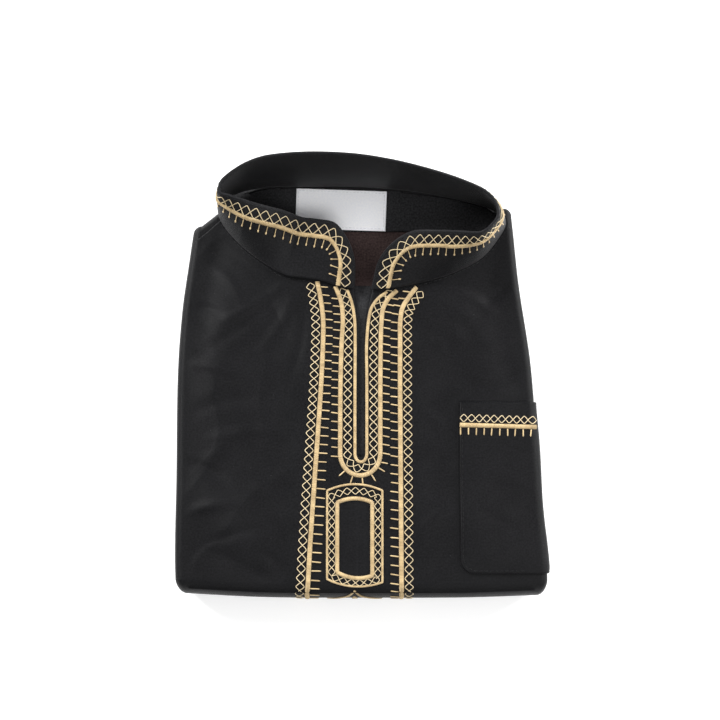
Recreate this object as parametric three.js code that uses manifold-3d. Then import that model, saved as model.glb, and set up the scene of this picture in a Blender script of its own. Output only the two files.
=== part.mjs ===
// A folded qamis: a long black shirt with a stand collar and gold embroidery, folded into a flat pack, lying
// face up on a table. Millimetres, +X to the viewer's right, +Y towards the collar, +Z up from the table.
// The shirt is folded in at both sides, then in half twice, so the pack has four legs, one on another.
// From the top they are the chest, the hem, the inner skirt and the outer skirt. The front runs over the chest,
// round the bottom fold and on into the outer skirt.
import * as THREE from "three";
import { mergeVertices } from "three/addons/utils/BufferGeometryUtils.js";
import Module from "manifold-3d";

const wasm = await Module();
wasm.setup();
const { lerp, clamp, smoothstep, degToRad } = THREE.MathUtils;

// Driving sizes
const STACK = 26; // the folded pack's height, without the collar
const CLOTH = 1.2; // the wall of the front, back and pocket cloth
const GAP = 0.3; // between pieces at a seam
const LAYER_GAP = 0.45; // between the front and the layers inside it
const SIDE_ROLL = 4.5; // radius of the chest leg's rounded side edge
const SKIRT_ROLL = 2.9; // radius of the outer skirt's rounded side edge
const BOTTOM_ROLL = 10; // how far the bottom fold reaches past its flat top
const CROWN = 1.4; // how much the pack swells at its middle
const ORIGIN = { x: 0.2, y: -3.5 }; // the middle of the whole shirt, where the part's origin lies

// Collar
const COLLAR_HEIGHT = 36;
const COLLAR_WALL = 1.8;
const COLLAR_CORNER = 25; // radius of its two front corners

// Gold satin stitching
const SATIN = { wide: 3.0, fine: 1.9, rise: 0.9 };
const TRIM_FROM_EDGE = 10.2; // the collar's gold line, below its edge

// Edges of the folded pack, seen from above
const LEFT_EDGE = [
  { y: -134, x: -107.5 },
  { y: -122, x: -111 },
  { y: -60, x: -111 },
  { y: 0, x: -110.8 },
  { y: 38, x: -108.5 },
  { y: 65, x: -105 },
  { y: 93, x: -101 },
  { y: 118, x: -96 },
];
const RIGHT_EDGE = [
  { y: -134, x: 108 },
  { y: -122, x: 110.5 },
  { y: -76, x: 107 },
  { y: -33, x: 104.5 },
  { y: 8, x: 101.5 },
  { y: 54, x: 95 },
  { y: 85, x: 92 },
  { y: 118, x: 89 },
];
const TOP_EDGE = [
  { x: -104, y: 90 },
  { x: -92, y: 100 },
  { x: -80, y: 110.5 },
  { x: -60, y: 117 },
  { x: -20, y: 119.5 },
  { x: 30, y: 118 },
  { x: 66, y: 113.5 },
  { x: 80, y: 110 },
  { x: 92, y: 101 },
];
const BOTTOM_EDGE = [
  { x: -110, y: -131 },
  { x: -60, y: -133.6 },
  { x: 0, y: -134 },
  { x: 60, y: -133.8 },
  { x: 110, y: -132 },
];

// The legs of the pack below the chest, from the top down, with how far each stays in from the pack's edges
const LEGS = [
  { name: "hem", top: 17.2, base: 11.6, inside: 3.6, end: 9, wave: 1.1 },
  { name: "inner skirt", top: 11.6, base: 5.9, inside: 1.4, end: 2.5, wave: 0.9 },
  { name: "outer skirt", top: 5.9, base: 0, inside: 0.2, end: 2, wave: 0.5 },
];

// The collar's seam from its left front end round the back to its right front end, how far its top edge reaches
// from the seam in plan, and how much it curls: 0 is a straight lean, 1 stands at its foot and lies at its edge
const COLLAR = [
  { x: -4.1, y: 51.2, overX: 1.0, overY: 35.1, curl: 0 },
  { x: -13.5, y: 52.6, overX: 4.6, overY: 34.6, curl: 0 },
  { x: -24, y: 56.0, overX: 7.2, overY: 34.5, curl: 0 },
  { x: -35, y: 57.7, overX: 7.8, overY: 34.5, curl: 0 },
  { x: -45.5, y: 59.3, overX: 8.2, overY: 34.4, curl: 0 },
  { x: -56, y: 65.4, overX: 8.0, overY: 30.8, curl: 1 },
  { x: -66, y: 72.4, overX: 7.4, overY: 25.4, curl: 1 },
  { x: -75, y: 80.6, overX: 6.2, overY: 19.6, curl: 1 },
  { x: -82.5, y: 89.5, overX: 4.6, overY: 12.8, curl: 1 },
  { x: -86, y: 97, overX: 3.0, overY: 6.6, curl: 1 },
  { x: -84, y: 104.2, overX: 2.8, overY: 6.0, curl: 1 },
  { x: -75, y: 110, overX: 3.8, overY: 8.4, curl: 1 },
  { x: -60, y: 113.3, overX: 2.6, overY: 11.2, curl: 1 },
  { x: -30, y: 114.2, overX: 0.8, overY: 13.2, curl: 1 },
  { x: -5, y: 114, overX: 0, overY: 12.2, curl: 1 },
  { x: 20, y: 112.4, overX: -0.4, overY: 9.4, curl: 1 },
  { x: 44, y: 109, overX: -0.8, overY: 6.4, curl: 1 },
  { x: 60, y: 105.6, overX: -1.6, overY: 4.6, curl: 1 },
  { x: 75, y: 101.4, overX: -3.6, overY: 2.6, curl: 1 },
  { x: 83.5, y: 96.6, overX: -6.0, overY: 0.6, curl: 1 },
  { x: 86, y: 90.5, overX: -7.0, overY: -0.4, curl: 1 },
  { x: 81, y: 81, overX: -6.0, overY: 2.6, curl: 1 },
  { x: 71, y: 69.8, overX: -2.4, overY: 10.0, curl: 1 },
  { x: 56, y: 61.8, overX: 0.8, overY: 19.4, curl: 0.9 },
  { x: 45, y: 57.8, overX: 2.4, overY: 24.2, curl: 0.3 },
  { x: 31, y: 54.2, overX: 4.6, overY: 29.0, curl: 0 },
  { x: 19.5, y: 51.8, overX: 6.6, overY: 32.6, curl: 0 },
  { x: 5.5, y: 50.7, overX: 7.6, overY: 34.0, curl: 0 },
];

// The slit's two edges below the collar, from the top down
const SLIT_LEFT = [
  { x: -4.4, y: 51 },
  { x: -3.4, y: 42 },
  { x: -2.8, y: 32 },
  { x: -2.6, y: 10 },
];
const SLIT_RIGHT = [
  { x: 5.8, y: 49.5 },
  { x: 4.6, y: 45 },
  { x: 3.2, y: 38 },
  { x: 2.2, y: 30 },
  { x: 1.6, y: 10 },
];
const SLIT_END = -50;
const SLIT_MIDDLE = -0.6;

// Centre lines of the placket's satin stitching, from the collar down
const PLACKET_LINES = [
  {
    name: "trim_outer_left",
    width: SATIN.wide,
    points: [[-26.6, 54.6], [-24.6, 44], [-23, 32], [-23.3, 17.7], [-24.2, -4], [-31.7, -121]],
    overFold: true,
  },
  {
    name: "trim_outer_right",
    width: SATIN.wide,
    points: [[32, 51], [28.3, 45.9], [24.4, 39.3], [23.1, 31], [23, 17.7], [22.9, -4], [23.5, -121]],
    overFold: true,
  },
];
const PLACKET_LOOPS = [
  {
    name: "trim_middle",
    width: SATIN.wide,
    left: [[-15.6, 51.6], [-12.4, 43], [-11.2, 32], [-12.1, 17.7], [-12.7, -4], [-12.9, -48]],
    right: [[20.6, 49.4], [16.2, 45.4], [12.9, 39.3], [11.8, 31], [11.3, 17.7], [11.1, -4], [11, -48]],
    end: -61,
  },
  {
    name: "trim_inner",
    width: SATIN.fine,
    left: [[-8.6, 49.6], [-6, 42.6], [-4.3, 32], [-4.1, 17.7], [-4.1, -4], [-4.1, -48]],
    right: [[14.6, 48.4], [9.9, 45.2], [5.8, 39.4], [4, 31], [3.2, 17.7], [3, -4], [3, -48]],
    end: -53,
  },
];

// Closed frames near the bottom fold: half widths and ends, with ends that bow outward
const FRAME_MIDDLE = -4.2;
const FRAMES = [
  { name: "trim_frame_outer", width: SATIN.fine, half: 16.5, top: -70, base: -124.5, bow: 3.8 },
  { name: "trim_frame_inner", width: SATIN.wide, half: 10.4, top: -77, base: -120.2, bow: 2.4 },
];

// Pocket
const POCKET = { left: 58.3, top: -17, base: -119, corner: 5 };
const POCKET_TRIM_DROP = 14.8; // its gold line, below its top edge

// Inside of the neck
const FACING_EDGE = 87; // the neck facing's lower edge
const NECK_LEDGE = 1.8; // how far the layers sink below the front at the neck's seam
const NECK_DEPTH = 4.6; // and how much more in its middle
const LABEL = { x: -12.6, y: 99.5, width: 55, height: 24, thick: 0.8, turn: -2 };
const UNDERLAP = { left: -10.5, right: 9.5, top: 53, base: -58 };

// Soft creases over the chest: where each starts and ends, its width and its rise
const CREASES = [
  { x0: -92, y0: 82, x1: -103, y1: 22, width: 11, rise: -0.9 },
  { x0: -74, y0: 52, x1: -98, y1: -22, width: 13, rise: 0.9 },
  { x0: -58, y0: 38, x1: -52, y1: -60, width: 15, rise: -0.8 },
  { x0: -100, y0: -62, x1: -56, y1: -118, width: 12, rise: 0.9 },
  { x0: -98, y0: -96, x1: -80, y1: -122, width: 9, rise: -0.8 },
  { x0: 82, y0: 66, x1: 90, y1: 6, width: 11, rise: -0.9 },
  { x0: 52, y0: 40, x1: 88, y1: -8, width: 12, rise: 0.8 },
  { x0: 44, y0: 20, x1: 47, y1: -70, width: 11, rise: -0.7 },
  { x0: 48, y0: -84, x1: 100, y1: -124, width: 12, rise: 0.8 },
];

// A smooth curve through a table's rows, held level past its ends
function through(rows, key, value) {
  const keys = rows.map((row) => row[key]);
  const values = rows.map((row) => row[value]);
  const slopes = keys.map((_, i) => {
    const a = Math.max(i - 1, 0);
    const b = Math.min(i + 1, keys.length - 1);
    return (values[b] - values[a]) / (keys[b] - keys[a]);
  });
  return (at) => {
    const t = clamp(at, keys[0], keys[keys.length - 1]);
    let i = 0;
    while (i < keys.length - 2 && t > keys[i + 1]) i += 1;
    const span = keys[i + 1] - keys[i];
    const f = (t - keys[i]) / span;
    const a = (1 + 2 * f) * (1 - f) ** 2 * values[i] + f * (1 - f) ** 2 * span * slopes[i];
    const b = f * f * (3 - 2 * f) * values[i + 1] + f * f * (f - 1) * span * slopes[i + 1];
    return a + b;
  };
}

const leftEdge = through(LEFT_EDGE, "y", "x");
const rightEdge = through(RIGHT_EDGE, "y", "x");
const topEdge = through(TOP_EDGE, "x", "y");
const bottomEdge = through(BOTTOM_EDGE, "x", "y");

// How far the chest rises or sinks at a point of the plan
function relief(x, y) {
  const fromSides = Math.min(x - leftEdge(y), rightEdge(y) - x);
  const fromEnds = Math.min(topEdge(x) - y, y - bottomEdge(x));
  const inside = smoothstep(fromSides, SIDE_ROLL, 45) * smoothstep(fromEnds, BOTTOM_ROLL, 50);
  let z = CROWN * inside;
  const fade = smoothstep(fromSides, SIDE_ROLL, 22) * smoothstep(fromEnds, BOTTOM_ROLL, 26);
  for (const crease of CREASES) {
    const along = new THREE.Vector2(crease.x1 - crease.x0, crease.y1 - crease.y0);
    const from = new THREE.Vector2(x - crease.x0, y - crease.y0);
    const t = clamp(from.dot(along) / along.lengthSq(), 0, 1);
    const away = from.addScaledVector(along, -t).length() / crease.width;
    z += fade * crease.rise * Math.exp(-away * away);
  }
  return z;
}

// Columns run across the cloth and rows along it. Each has a share of the flat part, and its turn round a roll,
// where 90 degrees lies flat on top, 0 is the outermost line and less is tucked under.
const ROLL_SWEEP = 152; // how far round a roll the cloth goes, in degrees
const ROLL_TURNS = [-62, -30, 0, 30, 60];
const SHARES_ACROSS = [
  0, 0.045, 0.1, 0.16, 0.225, 0.29, 0.35, 0.4, 0.44, 0.48, 0.52, 0.56, 0.605, 0.66, 0.72, 0.78, 0.84, 0.9,
  0.955, 1,
];
const FLAT_ROWS = 22;
const BOTTOM_TURNS = [75, 60, 45, 30, 15, 0, -15, -30, -45, -60, -72, -80];
const FLAT_LEFT = -104; // where the flat part begins and ends, for the top and bottom edges
const FLAT_RIGHT = 99;
const columns = [
  ...ROLL_TURNS.map((turn) => ({ share: 0, turn })),
  ...SHARES_ACROSS.map((share) => ({ share, turn: 90 })),
  ...ROLL_TURNS.toReversed().map((turn) => ({ share: 1, turn })),
];
const topRows = ROLL_TURNS.map((turn) => ({ share: 0, topTurn: turn }));
const flatRows = Array.from({ length: FLAT_ROWS + 1 }, (_, i) => ({ share: i / FLAT_ROWS }));
const bottomRows = BOTTOM_TURNS.map((turn) => ({ share: 1, bottomTurn: turn }));

// How far out and how far above the flat cloth a point lies, round the side roll, the top roll or their corner
function aroundRolls(sideTurn, topTurn, radius, lift) {
  const side = (90 - sideTurn) / ROLL_SWEEP;
  const top = (90 - topTurn) / ROLL_SWEEP;
  const angle = degToRad(90 - ROLL_SWEEP * Math.max(side, top));
  const share = Math.min(side, top) / Math.max(side, top, 1e-9);
  const heading = degToRad(side >= top ? 45 * share : 90 - 45 * share);
  const out = (radius + lift) * Math.cos(angle);
  return {
    across: out * Math.cos(heading),
    along: out * Math.sin(heading),
    up: (radius + lift) * Math.sin(angle) - radius,
  };
}

// The outer cloth of the pack at a column and row, moved out by lift
function clothPoint(column, row, lift) {
  const bottom = row.bottomTurn ?? 90;
  const roll = lerp(SIDE_ROLL, SKIRT_ROLL, (90 - bottom) / 170);
  const { across, along, up } = aroundRolls(column.turn, row.topTurn ?? 90, roll, lift);
  const nearX = lerp(FLAT_LEFT, FLAT_RIGHT, column.share);
  const yTop = topEdge(nearX) - SIDE_ROLL;
  const yBottom = bottomEdge(nearX) + BOTTOM_ROLL;
  const angle = degToRad(bottom);
  const y = lerp(yTop, yBottom, row.share) + along - (BOTTOM_ROLL + up) * Math.cos(angle);
  const half = STACK / 2;
  let z = half + (half + up) * Math.sin(angle);
  const outward = column.share < 0.5 ? -across : across;
  const x = lerp(leftEdge(y) + roll, rightEdge(y) - roll, column.share) + outward;
  if (bottom === 90) z += relief(x, y);
  return new THREE.Vector3(x, y, z);
}

// The same cloth at a place of the plan: the column and row that lie there
function columnAt(x, y) {
  const left = leftEdge(y) + SIDE_ROLL;
  const right = rightEdge(y) - SIDE_ROLL;
  return { share: (x - left) / (right - left), turn: 90 };
}
function rowAt(x, y) {
  const share = clamp(columnAt(x, y).share, 0, 1);
  const nearX = lerp(FLAT_LEFT, FLAT_RIGHT, share);
  const top = topEdge(nearX) - SIDE_ROLL;
  const base = bottomEdge(nearX) + BOTTOM_ROLL;
  if (y >= base) return { share: (top - y) / (top - base) };
  return { share: 1, bottomTurn: (Math.acos((base - y) / BOTTOM_ROLL) * 180) / Math.PI };
}
function onChest(x, y, lift) {
  return clothPoint(columnAt(x, y), rowAt(x, y), lift);
}

// Geometry from a list of points and the corners of its triangles
function geometryOf(points, corners) {
  const geometry = new THREE.BufferGeometry();
  geometry.setAttribute("position", new THREE.Float32BufferAttribute(points.flatMap((p) => p.toArray()), 3));
  geometry.setIndex(corners);
  return geometry;
}

// A closed wall between an outer and an inner grid of points with the same rows and columns
function wallOf(outer, inner) {
  const high = outer.length;
  const wide = outer[0].length;
  const points = [...outer.flat(), ...inner.flat()];
  const at = (side, i, j) => side * high * wide + i * wide + j;
  const corners = [];
  const quad = (a, b, c, d) => corners.push(a, b, c, a, c, d);
  for (let i = 0; i < high - 1; i += 1) {
    for (let j = 0; j < wide - 1; j += 1) {
      quad(at(0, i, j), at(0, i + 1, j), at(0, i + 1, j + 1), at(0, i, j + 1));
      quad(at(1, i, j), at(1, i, j + 1), at(1, i + 1, j + 1), at(1, i + 1, j));
    }
  }
  for (let i = 0; i < high - 1; i += 1) {
    quad(at(0, i, 0), at(1, i, 0), at(1, i + 1, 0), at(0, i + 1, 0));
    quad(at(0, i, wide - 1), at(0, i + 1, wide - 1), at(1, i + 1, wide - 1), at(1, i, wide - 1));
  }
  for (let j = 0; j < wide - 1; j += 1) {
    quad(at(0, 0, j), at(0, 0, j + 1), at(1, 0, j + 1), at(1, 0, j));
    quad(at(0, high - 1, j), at(1, high - 1, j), at(1, high - 1, j + 1), at(0, high - 1, j + 1));
  }
  return geometryOf(points, corners);
}

// Solids for cutting, and back
function solidOf(geometry) {
  const bare = geometry.clone();
  bare.deleteAttribute("normal");
  bare.deleteAttribute("uv");
  const merged = mergeVertices(bare, 1e-4);
  return new wasm.Manifold(
    new wasm.Mesh({
      numProp: 3,
      vertProperties: merged.attributes.position.array,
      triVerts: new Uint32Array(merged.index.array),
    }),
  );
}
function geometryFrom(solid) {
  const mesh = solid.getMesh();
  const geometry = new THREE.BufferGeometry();
  geometry.setAttribute("position", new THREE.BufferAttribute(mesh.vertProperties, 3));
  geometry.setIndex(new THREE.BufferAttribute(mesh.triVerts, 1));
  return geometry;
}

// A band along a path of surface frames, flat below and rounded above, as satin stitching lies on cloth
function bandAlong(frames, width, rise) {
  const section = [
    [-0.5, 0],
    [-0.4, 0.75],
    [0, 1],
    [0.4, 0.75],
    [0.5, 0],
  ];
  return frames.map(({ point, side, normal }) =>
    section.map(([across, up]) =>
      point.clone().addScaledVector(side, across * width).addScaledVector(normal, GAP + up * rise),
    ),
  );
}
function tubeOf(rings, closed) {
  const count = rings[0].length;
  const corners = [];
  const at = (i, j) => (i % rings.length) * count + (j % count);
  const last = closed ? rings.length : rings.length - 1;
  for (let i = 0; i < last; i += 1) {
    for (let j = 0; j < count; j += 1) {
      corners.push(at(i, j), at(i + 1, j + 1), at(i + 1, j), at(i, j), at(i, j + 1), at(i + 1, j + 1));
    }
  }
  if (!closed) {
    for (let j = 1; j < count - 1; j += 1) {
      corners.push(at(0, 0), at(0, j + 1), at(0, j));
      corners.push(at(rings.length - 1, 0), at(rings.length - 1, j), at(rings.length - 1, j + 1));
    }
  }
  return geometryOf(rings.flat(), corners);
}

// Frames along a path whose points come from place(t), with the cloth's normal from its neighbours
function framesAlong(count, place, closed) {
  const points = Array.from({ length: count }, (_, i) => place(i / (closed ? count : count - 1), 0));
  return points.map((point, i) => {
    const before = closed ? points[(i - 1 + count) % count] : points[Math.max(i - 1, 0)];
    const after = closed ? points[(i + 1) % count] : points[Math.min(i + 1, count - 1)];
    const along = after.clone().sub(before).normalize();
    const normal = place(i / (closed ? count : count - 1), 1).sub(point);
    normal.addScaledVector(along, -normal.dot(along)).normalize();
    const side = along.clone().cross(normal).normalize();
    return { point, side, normal };
  });
}

// Materials
const matt = (name, colour, roughness) => {
  const material = new THREE.MeshStandardMaterial({ color: colour, roughness, metalness: 0 });
  material.name = name;
  return material;
};
const shell = matt("shell cloth", 0x17171a, 0.85);
const inside = matt("folded cloth", 0x141417, 0.9);
const facing = matt("facing cloth", 0x1b1b1d, 0.85);
const lining = matt("lining cloth", 0x241c1c, 0.9);
const white = matt("label cloth", 0xe9e9ef, 0.8);
const gold = matt("gold thread", 0xd2ac6a, 0.5);

const shirt = new THREE.Group();
shirt.name = "qamis";
function addPiece(name, geometry, material) {
  const mesh = new THREE.Mesh(geometry, material);
  mesh.name = name;
  shirt.add(mesh);
}

// The neck hole with the slit below it, cut a little inside the collar's seam
function neckTool() {
  const slitEnd = [SLIT_RIGHT.at(-1), SLIT_LEFT.at(-1)].map(({ x }) => new THREE.Vector2(x, SLIT_END));
  const outline = [
    ...neckOutline(2).slice(1, -1),
    ...SLIT_RIGHT.map(({ x, y }) => new THREE.Vector2(x, y)),
    ...slitEnd,
    ...SLIT_LEFT.toReversed().map(({ x, y }) => new THREE.Vector2(x, y)),
  ];
  const prism = new THREE.ExtrudeGeometry(new THREE.Shape(outline), { depth: 30, bevelEnabled: false });
  prism.translate(0, 0, STACK - 3.4);
  return solidOf(prism);
}

// Front: from the shoulder seam over the chest and round the bottom fold
const SEAM_ROW = 1; // the flat row that the shoulder seam follows
function frontPanel() {
  const rows = [...flatRows.slice(SEAM_ROW), ...bottomRows];
  const outer = rows.map((row) => columns.map((column) => clothPoint(column, row, 0)));
  const inner = rows.map((row) => columns.map((column) => clothPoint(column, row, -CLOTH)));
  return geometryFrom(solidOf(wallOf(outer, inner)).subtract(neckTool()));
}

// Back: the part that shows behind the collar and over the shoulders, rolled over the pack's top edge
function backPanel() {
  const seamShare = flatRows[SEAM_ROW].share - GAP / 240;
  const rows = [...topRows, flatRows[0], { share: seamShare }];
  const outer = rows.map((row) => columns.map((column) => clothPoint(column, row, 0)));
  const inner = rows.map((row) => columns.map((column) => clothPoint(column, row, -CLOTH)));
  return geometryFrom(solidOf(wallOf(outer, inner)).subtract(neckTool()));
}

// How far a point of the plan lies outside the neck's seam; less than 0 inside it
const seamLoop = COLLAR.map(({ x, y }) => new THREE.Vector2(x, y));
function outsideNeck(x, y) {
  const at = new THREE.Vector2(x, y);
  let nearest = Infinity;
  let within = false;
  seamLoop.forEach((b, i) => {
    const a = seamLoop.at(i - 1);
    const edge = b.clone().sub(a);
    const t = clamp(at.clone().sub(a).dot(edge) / edge.lengthSq(), 0, 1);
    nearest = Math.min(nearest, at.distanceTo(a.clone().addScaledVector(edge, t)));
    if (a.y > y !== b.y > y && x < a.x + ((y - a.y) / (b.y - a.y)) * (b.x - a.x)) within = !within;
  });
  return within ? -nearest : nearest;
}

// How far the layers sink below the front: in the hollow of the neck, and under the placket
function hollow(x, y) {
  const outside = outsideNeck(x, y);
  const ledge = NECK_LEDGE * (1 - smoothstep(outside, 6, 13));
  const basin = NECK_DEPTH * smoothstep(-outside, 2, 26);
  const across = 1 - smoothstep(Math.abs(x - SLIT_MIDDLE), 12, 19);
  const along = smoothstep(y, UNDERLAP.base - 12, UNDERLAP.base - 2) * (1 - smoothstep(y, 62, 70));
  return Math.max(ledge + basin, 1.35 * across * along);
}

// The top of the hidden layers at a column and row, moved up by lift
function layerTop(column, row, lift) {
  const p = clothPoint(column, row, -CLOTH - LAYER_GAP);
  p.z += lift - hollow(p.x, p.y);
  return p;
}

// The hidden layers: a box of points whose sides bulge once for each leg
const layerRows = [0, 0.003, 0.009, 0.02, ...flatRows.slice(1).map(({ share }) => share)].map((share) => ({ share }));
const layerColumns = SHARES_ACROSS.map((share) => ({ share, turn: 90 }));
function foldedLayers() {
  const inner = CLOTH + LAYER_GAP;
  const half = STACK / 2;
  const chestMiddle = STACK - SIDE_ROLL;
  const levels = [];
  for (const leg of LEGS.toReversed()) {
    const radius = (leg.top - leg.base) / 2;
    for (const turn of leg.base === 0 ? [-90, -40, 10, 80] : [-82, -30, 30, 80]) {
      const angle = degToRad(turn);
      const z = leg.base + radius + radius * Math.sin(angle);
      levels.push({ z, leg, inward: radius * (1 - Math.cos(angle)) });
    }
  }
  for (const turn of [-80, -40, 0, 45, 90]) {
    const angle = degToRad(turn);
    const reach = (SIDE_ROLL - inner) * Math.cos(angle);
    levels.push({ z: chestMiddle + (SIDE_ROLL - inner) * Math.sin(angle), reach });
  }
  const rowsUp = layerRows.toReversed();
  const place = (i, j, k) => {
    const column = layerColumns[i];
    const row = rowsUp[j];
    const level = levels[k];
    if (k === levels.length - 1) return layerTop(column, row, 0);
    const nearX = lerp(FLAT_LEFT, FLAT_RIGHT, column.share);
    const rise = (level.z - half) / (half - inner);
    const round = level.z < 2.2 ? -1.4 : (BOTTOM_ROLL - inner) * Math.sqrt(1 - rise * rise);
    const yBase = bottomEdge(nearX) + BOTTOM_ROLL - round;
    const endIn = level.leg ? level.leg.end + level.inward : SIDE_ROLL - level.reach;
    const y = lerp(topEdge(nearX) - endIn, yBase, row.share);
    const beyond = Math.max(y - topEdge(nearX) + SIDE_ROLL, 0);
    const sideIn = level.leg
      ? level.leg.inside + level.inward + level.leg.wave * Math.sin(y / 17 + level.leg.top)
      : SIDE_ROLL - Math.sqrt(Math.max(level.reach ** 2 - beyond ** 2, 0));
    const settled = smoothstep(y, bottomEdge(nearX) + BOTTOM_ROLL + 0.5, bottomEdge(nearX) + BOTTOM_ROLL + 6);
    const inward = lerp(SIDE_ROLL + 0.4, Math.max(sideIn, 0.2), settled);
    const x = lerp(leftEdge(y) + inward, rightEdge(y) - inward, column.share);
    return new THREE.Vector3(x, y, level.z);
  };
  return boxOf(layerColumns.length, rowsUp.length, levels.length, place);
}

// A piece of cloth that lies on the hidden layers, cut to an outline in plan
function layerPatch(outline, lift, wall) {
  const side = (up) => layerRows.map((row) => layerColumns.map((column) => layerTop(column, row, up)));
  const sheet = solidOf(wallOf(side(lift + wall), side(lift)));
  const prism = new THREE.ExtrudeGeometry(new THREE.Shape(outline), { depth: STACK, bevelEnabled: false });
  prism.translate(0, 0, 6);
  return geometryFrom(sheet.intersect(solidOf(prism)));
}

// The neck's outline, moved in from the seam
function neckOutline(inset) {
  const middle = new THREE.Vector2(0, 86);
  return seamLoop.map((p) => p.clone().addScaledVector(middle.clone().sub(p).normalize(), inset));
}
// The part of the neck's outline above or below a line across it
function neckPart(sign) {
  const edge = FACING_EDGE + (sign * GAP) / 2;
  const ring = neckOutline(3);
  const kept = [];
  ring.forEach((b, i) => {
    const a = ring.at(i - 1);
    if (sign * (a.y - edge) > 0 !== sign * (b.y - edge) > 0) {
      kept.push(a.clone().lerp(b, (edge - a.y) / (b.y - a.y)));
    }
    if (sign * (b.y - edge) > 0) kept.push(b);
  });
  return kept;
}
function labelOutline() {
  const turn = degToRad(LABEL.turn);
  return [[-0.5, -0.5], [0.5, -0.5], [0.5, 0.5], [-0.5, 0.5]].map(([across, up]) =>
    new THREE.Vector2(across * LABEL.width, up * LABEL.height)
      .rotateAround(new THREE.Vector2(0, 0), turn)
      .add(new THREE.Vector2(LABEL.x, LABEL.y)),
  );
}
function underlapOutline() {
  const { left, right, top, base } = UNDERLAP;
  return [[left, base], [right, base], [right, top], [left, top]].map(([x, y]) => new THREE.Vector2(x, y));
}

// The closed surface of a box of points, with its faces pointing out
function boxOf(wide, long, high, place) {
  const points = [];
  const corners = [];
  const known = new Map();
  const at = (i, j, k) => {
    const key = `${i},${j},${k}`;
    if (!known.has(key)) {
      known.set(key, points.length);
      points.push(place(i, j, k));
    }
    return known.get(key);
  };
  const face = (countA, countB, corner, flip) => {
    for (let a = 0; a < countA - 1; a += 1) {
      for (let b = 0; b < countB - 1; b += 1) {
        const q = [corner(a, b), corner(a + 1, b), corner(a + 1, b + 1), corner(a, b + 1)];
        if (flip) q.reverse();
        corners.push(q[0], q[1], q[3], q[1], q[2], q[3]);
      }
    }
  };
  // j runs from low y to high y
  face(wide, long, (a, b) => at(a, b, high - 1), false);
  face(wide, long, (a, b) => at(a, b, 0), true);
  face(wide, high, (a, b) => at(a, 0, b), false);
  face(wide, high, (a, b) => at(a, long - 1, b), true);
  face(long, high, (a, b) => at(0, a, b), true);
  face(long, high, (a, b) => at(wide - 1, a, b), false);
  return geometryOf(points, corners);
}

// Collar: a band of constant height whose foot follows the neck seam
const seamCurve = new THREE.CatmullRomCurve3(
  COLLAR.map(({ x, y }) => new THREE.Vector3(x, y, 0)),
  false,
  "centripetal",
);
const overCurve = new THREE.CatmullRomCurve3(
  COLLAR.map(({ overX, overY, curl }) => new THREE.Vector3(overX, overY, curl)),
  false,
  "centripetal",
);
const SEAM_STEPS = 400;
// The seam's length up to each step
function seamLengths() {
  const found = [0];
  for (let i = 1; i <= SEAM_STEPS; i += 1) {
    const step = seamCurve.getPoint(i / SEAM_STEPS).distanceTo(seamCurve.getPoint((i - 1) / SEAM_STEPS));
    found.push(found[i - 1] + step);
  }
  return found;
}
const lengths = seamLengths();
const COLLAR_LENGTH = lengths.at(-1);
function seamShare(distance) {
  let i = 1;
  while (i < SEAM_STEPS && lengths[i] < distance) i += 1;
  return (i - 1 + clamp((distance - lengths[i - 1]) / (lengths[i] - lengths[i - 1]), 0, 1)) / SEAM_STEPS;
}
// How far out and up a strip of cloth reaches at a share of its length. over is its whole reach, as a share of its
// length. With a curl it leaves its foot steeply and leans over more and more towards its edge.
function leaningStrip(over, curl, share) {
  const bend = Math.max(curl * clamp(0.983 / over - 1, 0, 0.6), 0.005);
  const first = over * (1 - bend);
  const growth = 2 * over * bend;
  const area = (slope) => (slope * Math.sqrt(1 - slope * slope) + Math.asin(slope)) / 2;
  return {
    out: share + bend * (share * share - share),
    up: (area(first + growth * share) - area(first)) / growth,
  };
}
// A point of the collar at a distance along its seam and a height above it, and lifted off its outer face
function collarMiddle(distance, height) {
  const t = seamShare(distance);
  const foot = seamCurve.getPoint(t);
  const over = overCurve.getPoint(t);
  const { out, up } = leaningStrip(Math.hypot(over.x, over.y) / COLLAR_HEIGHT, over.z, height / COLLAR_HEIGHT);
  const base = STACK + relief(foot.x, foot.y) + GAP + (COLLAR_WALL / 2) * 1.1;
  return new THREE.Vector3(foot.x + over.x * out, foot.y + over.y * out, base + up * COLLAR_HEIGHT);
}
function collarNormal(distance, height) {
  const near = 0.5;
  const a = collarMiddle(clamp(distance - near, 0, COLLAR_LENGTH), height);
  const b = collarMiddle(clamp(distance + near, 0, COLLAR_LENGTH), height);
  const low = collarMiddle(distance, Math.max(height - near, 0));
  const high = collarMiddle(distance, Math.min(height + near, COLLAR_HEIGHT));
  return b.sub(a).cross(high.sub(low)).normalize().negate();
}
function onCollar(distance, height, lift) {
  return collarMiddle(distance, height).addScaledVector(
    collarNormal(distance, height),
    COLLAR_WALL / 2 + lift,
  );
}
// The height of the collar's edge at a distance along its seam, with the front corners rounded
function collarTop(distance) {
  const fromEnd = Math.min(distance, COLLAR_LENGTH - distance);
  if (fromEnd >= COLLAR_CORNER) return COLLAR_HEIGHT;
  const gone = COLLAR_CORNER - fromEnd;
  return COLLAR_HEIGHT - COLLAR_CORNER + Math.sqrt(Math.max(COLLAR_CORNER ** 2 - gone ** 2, 0));
}
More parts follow.
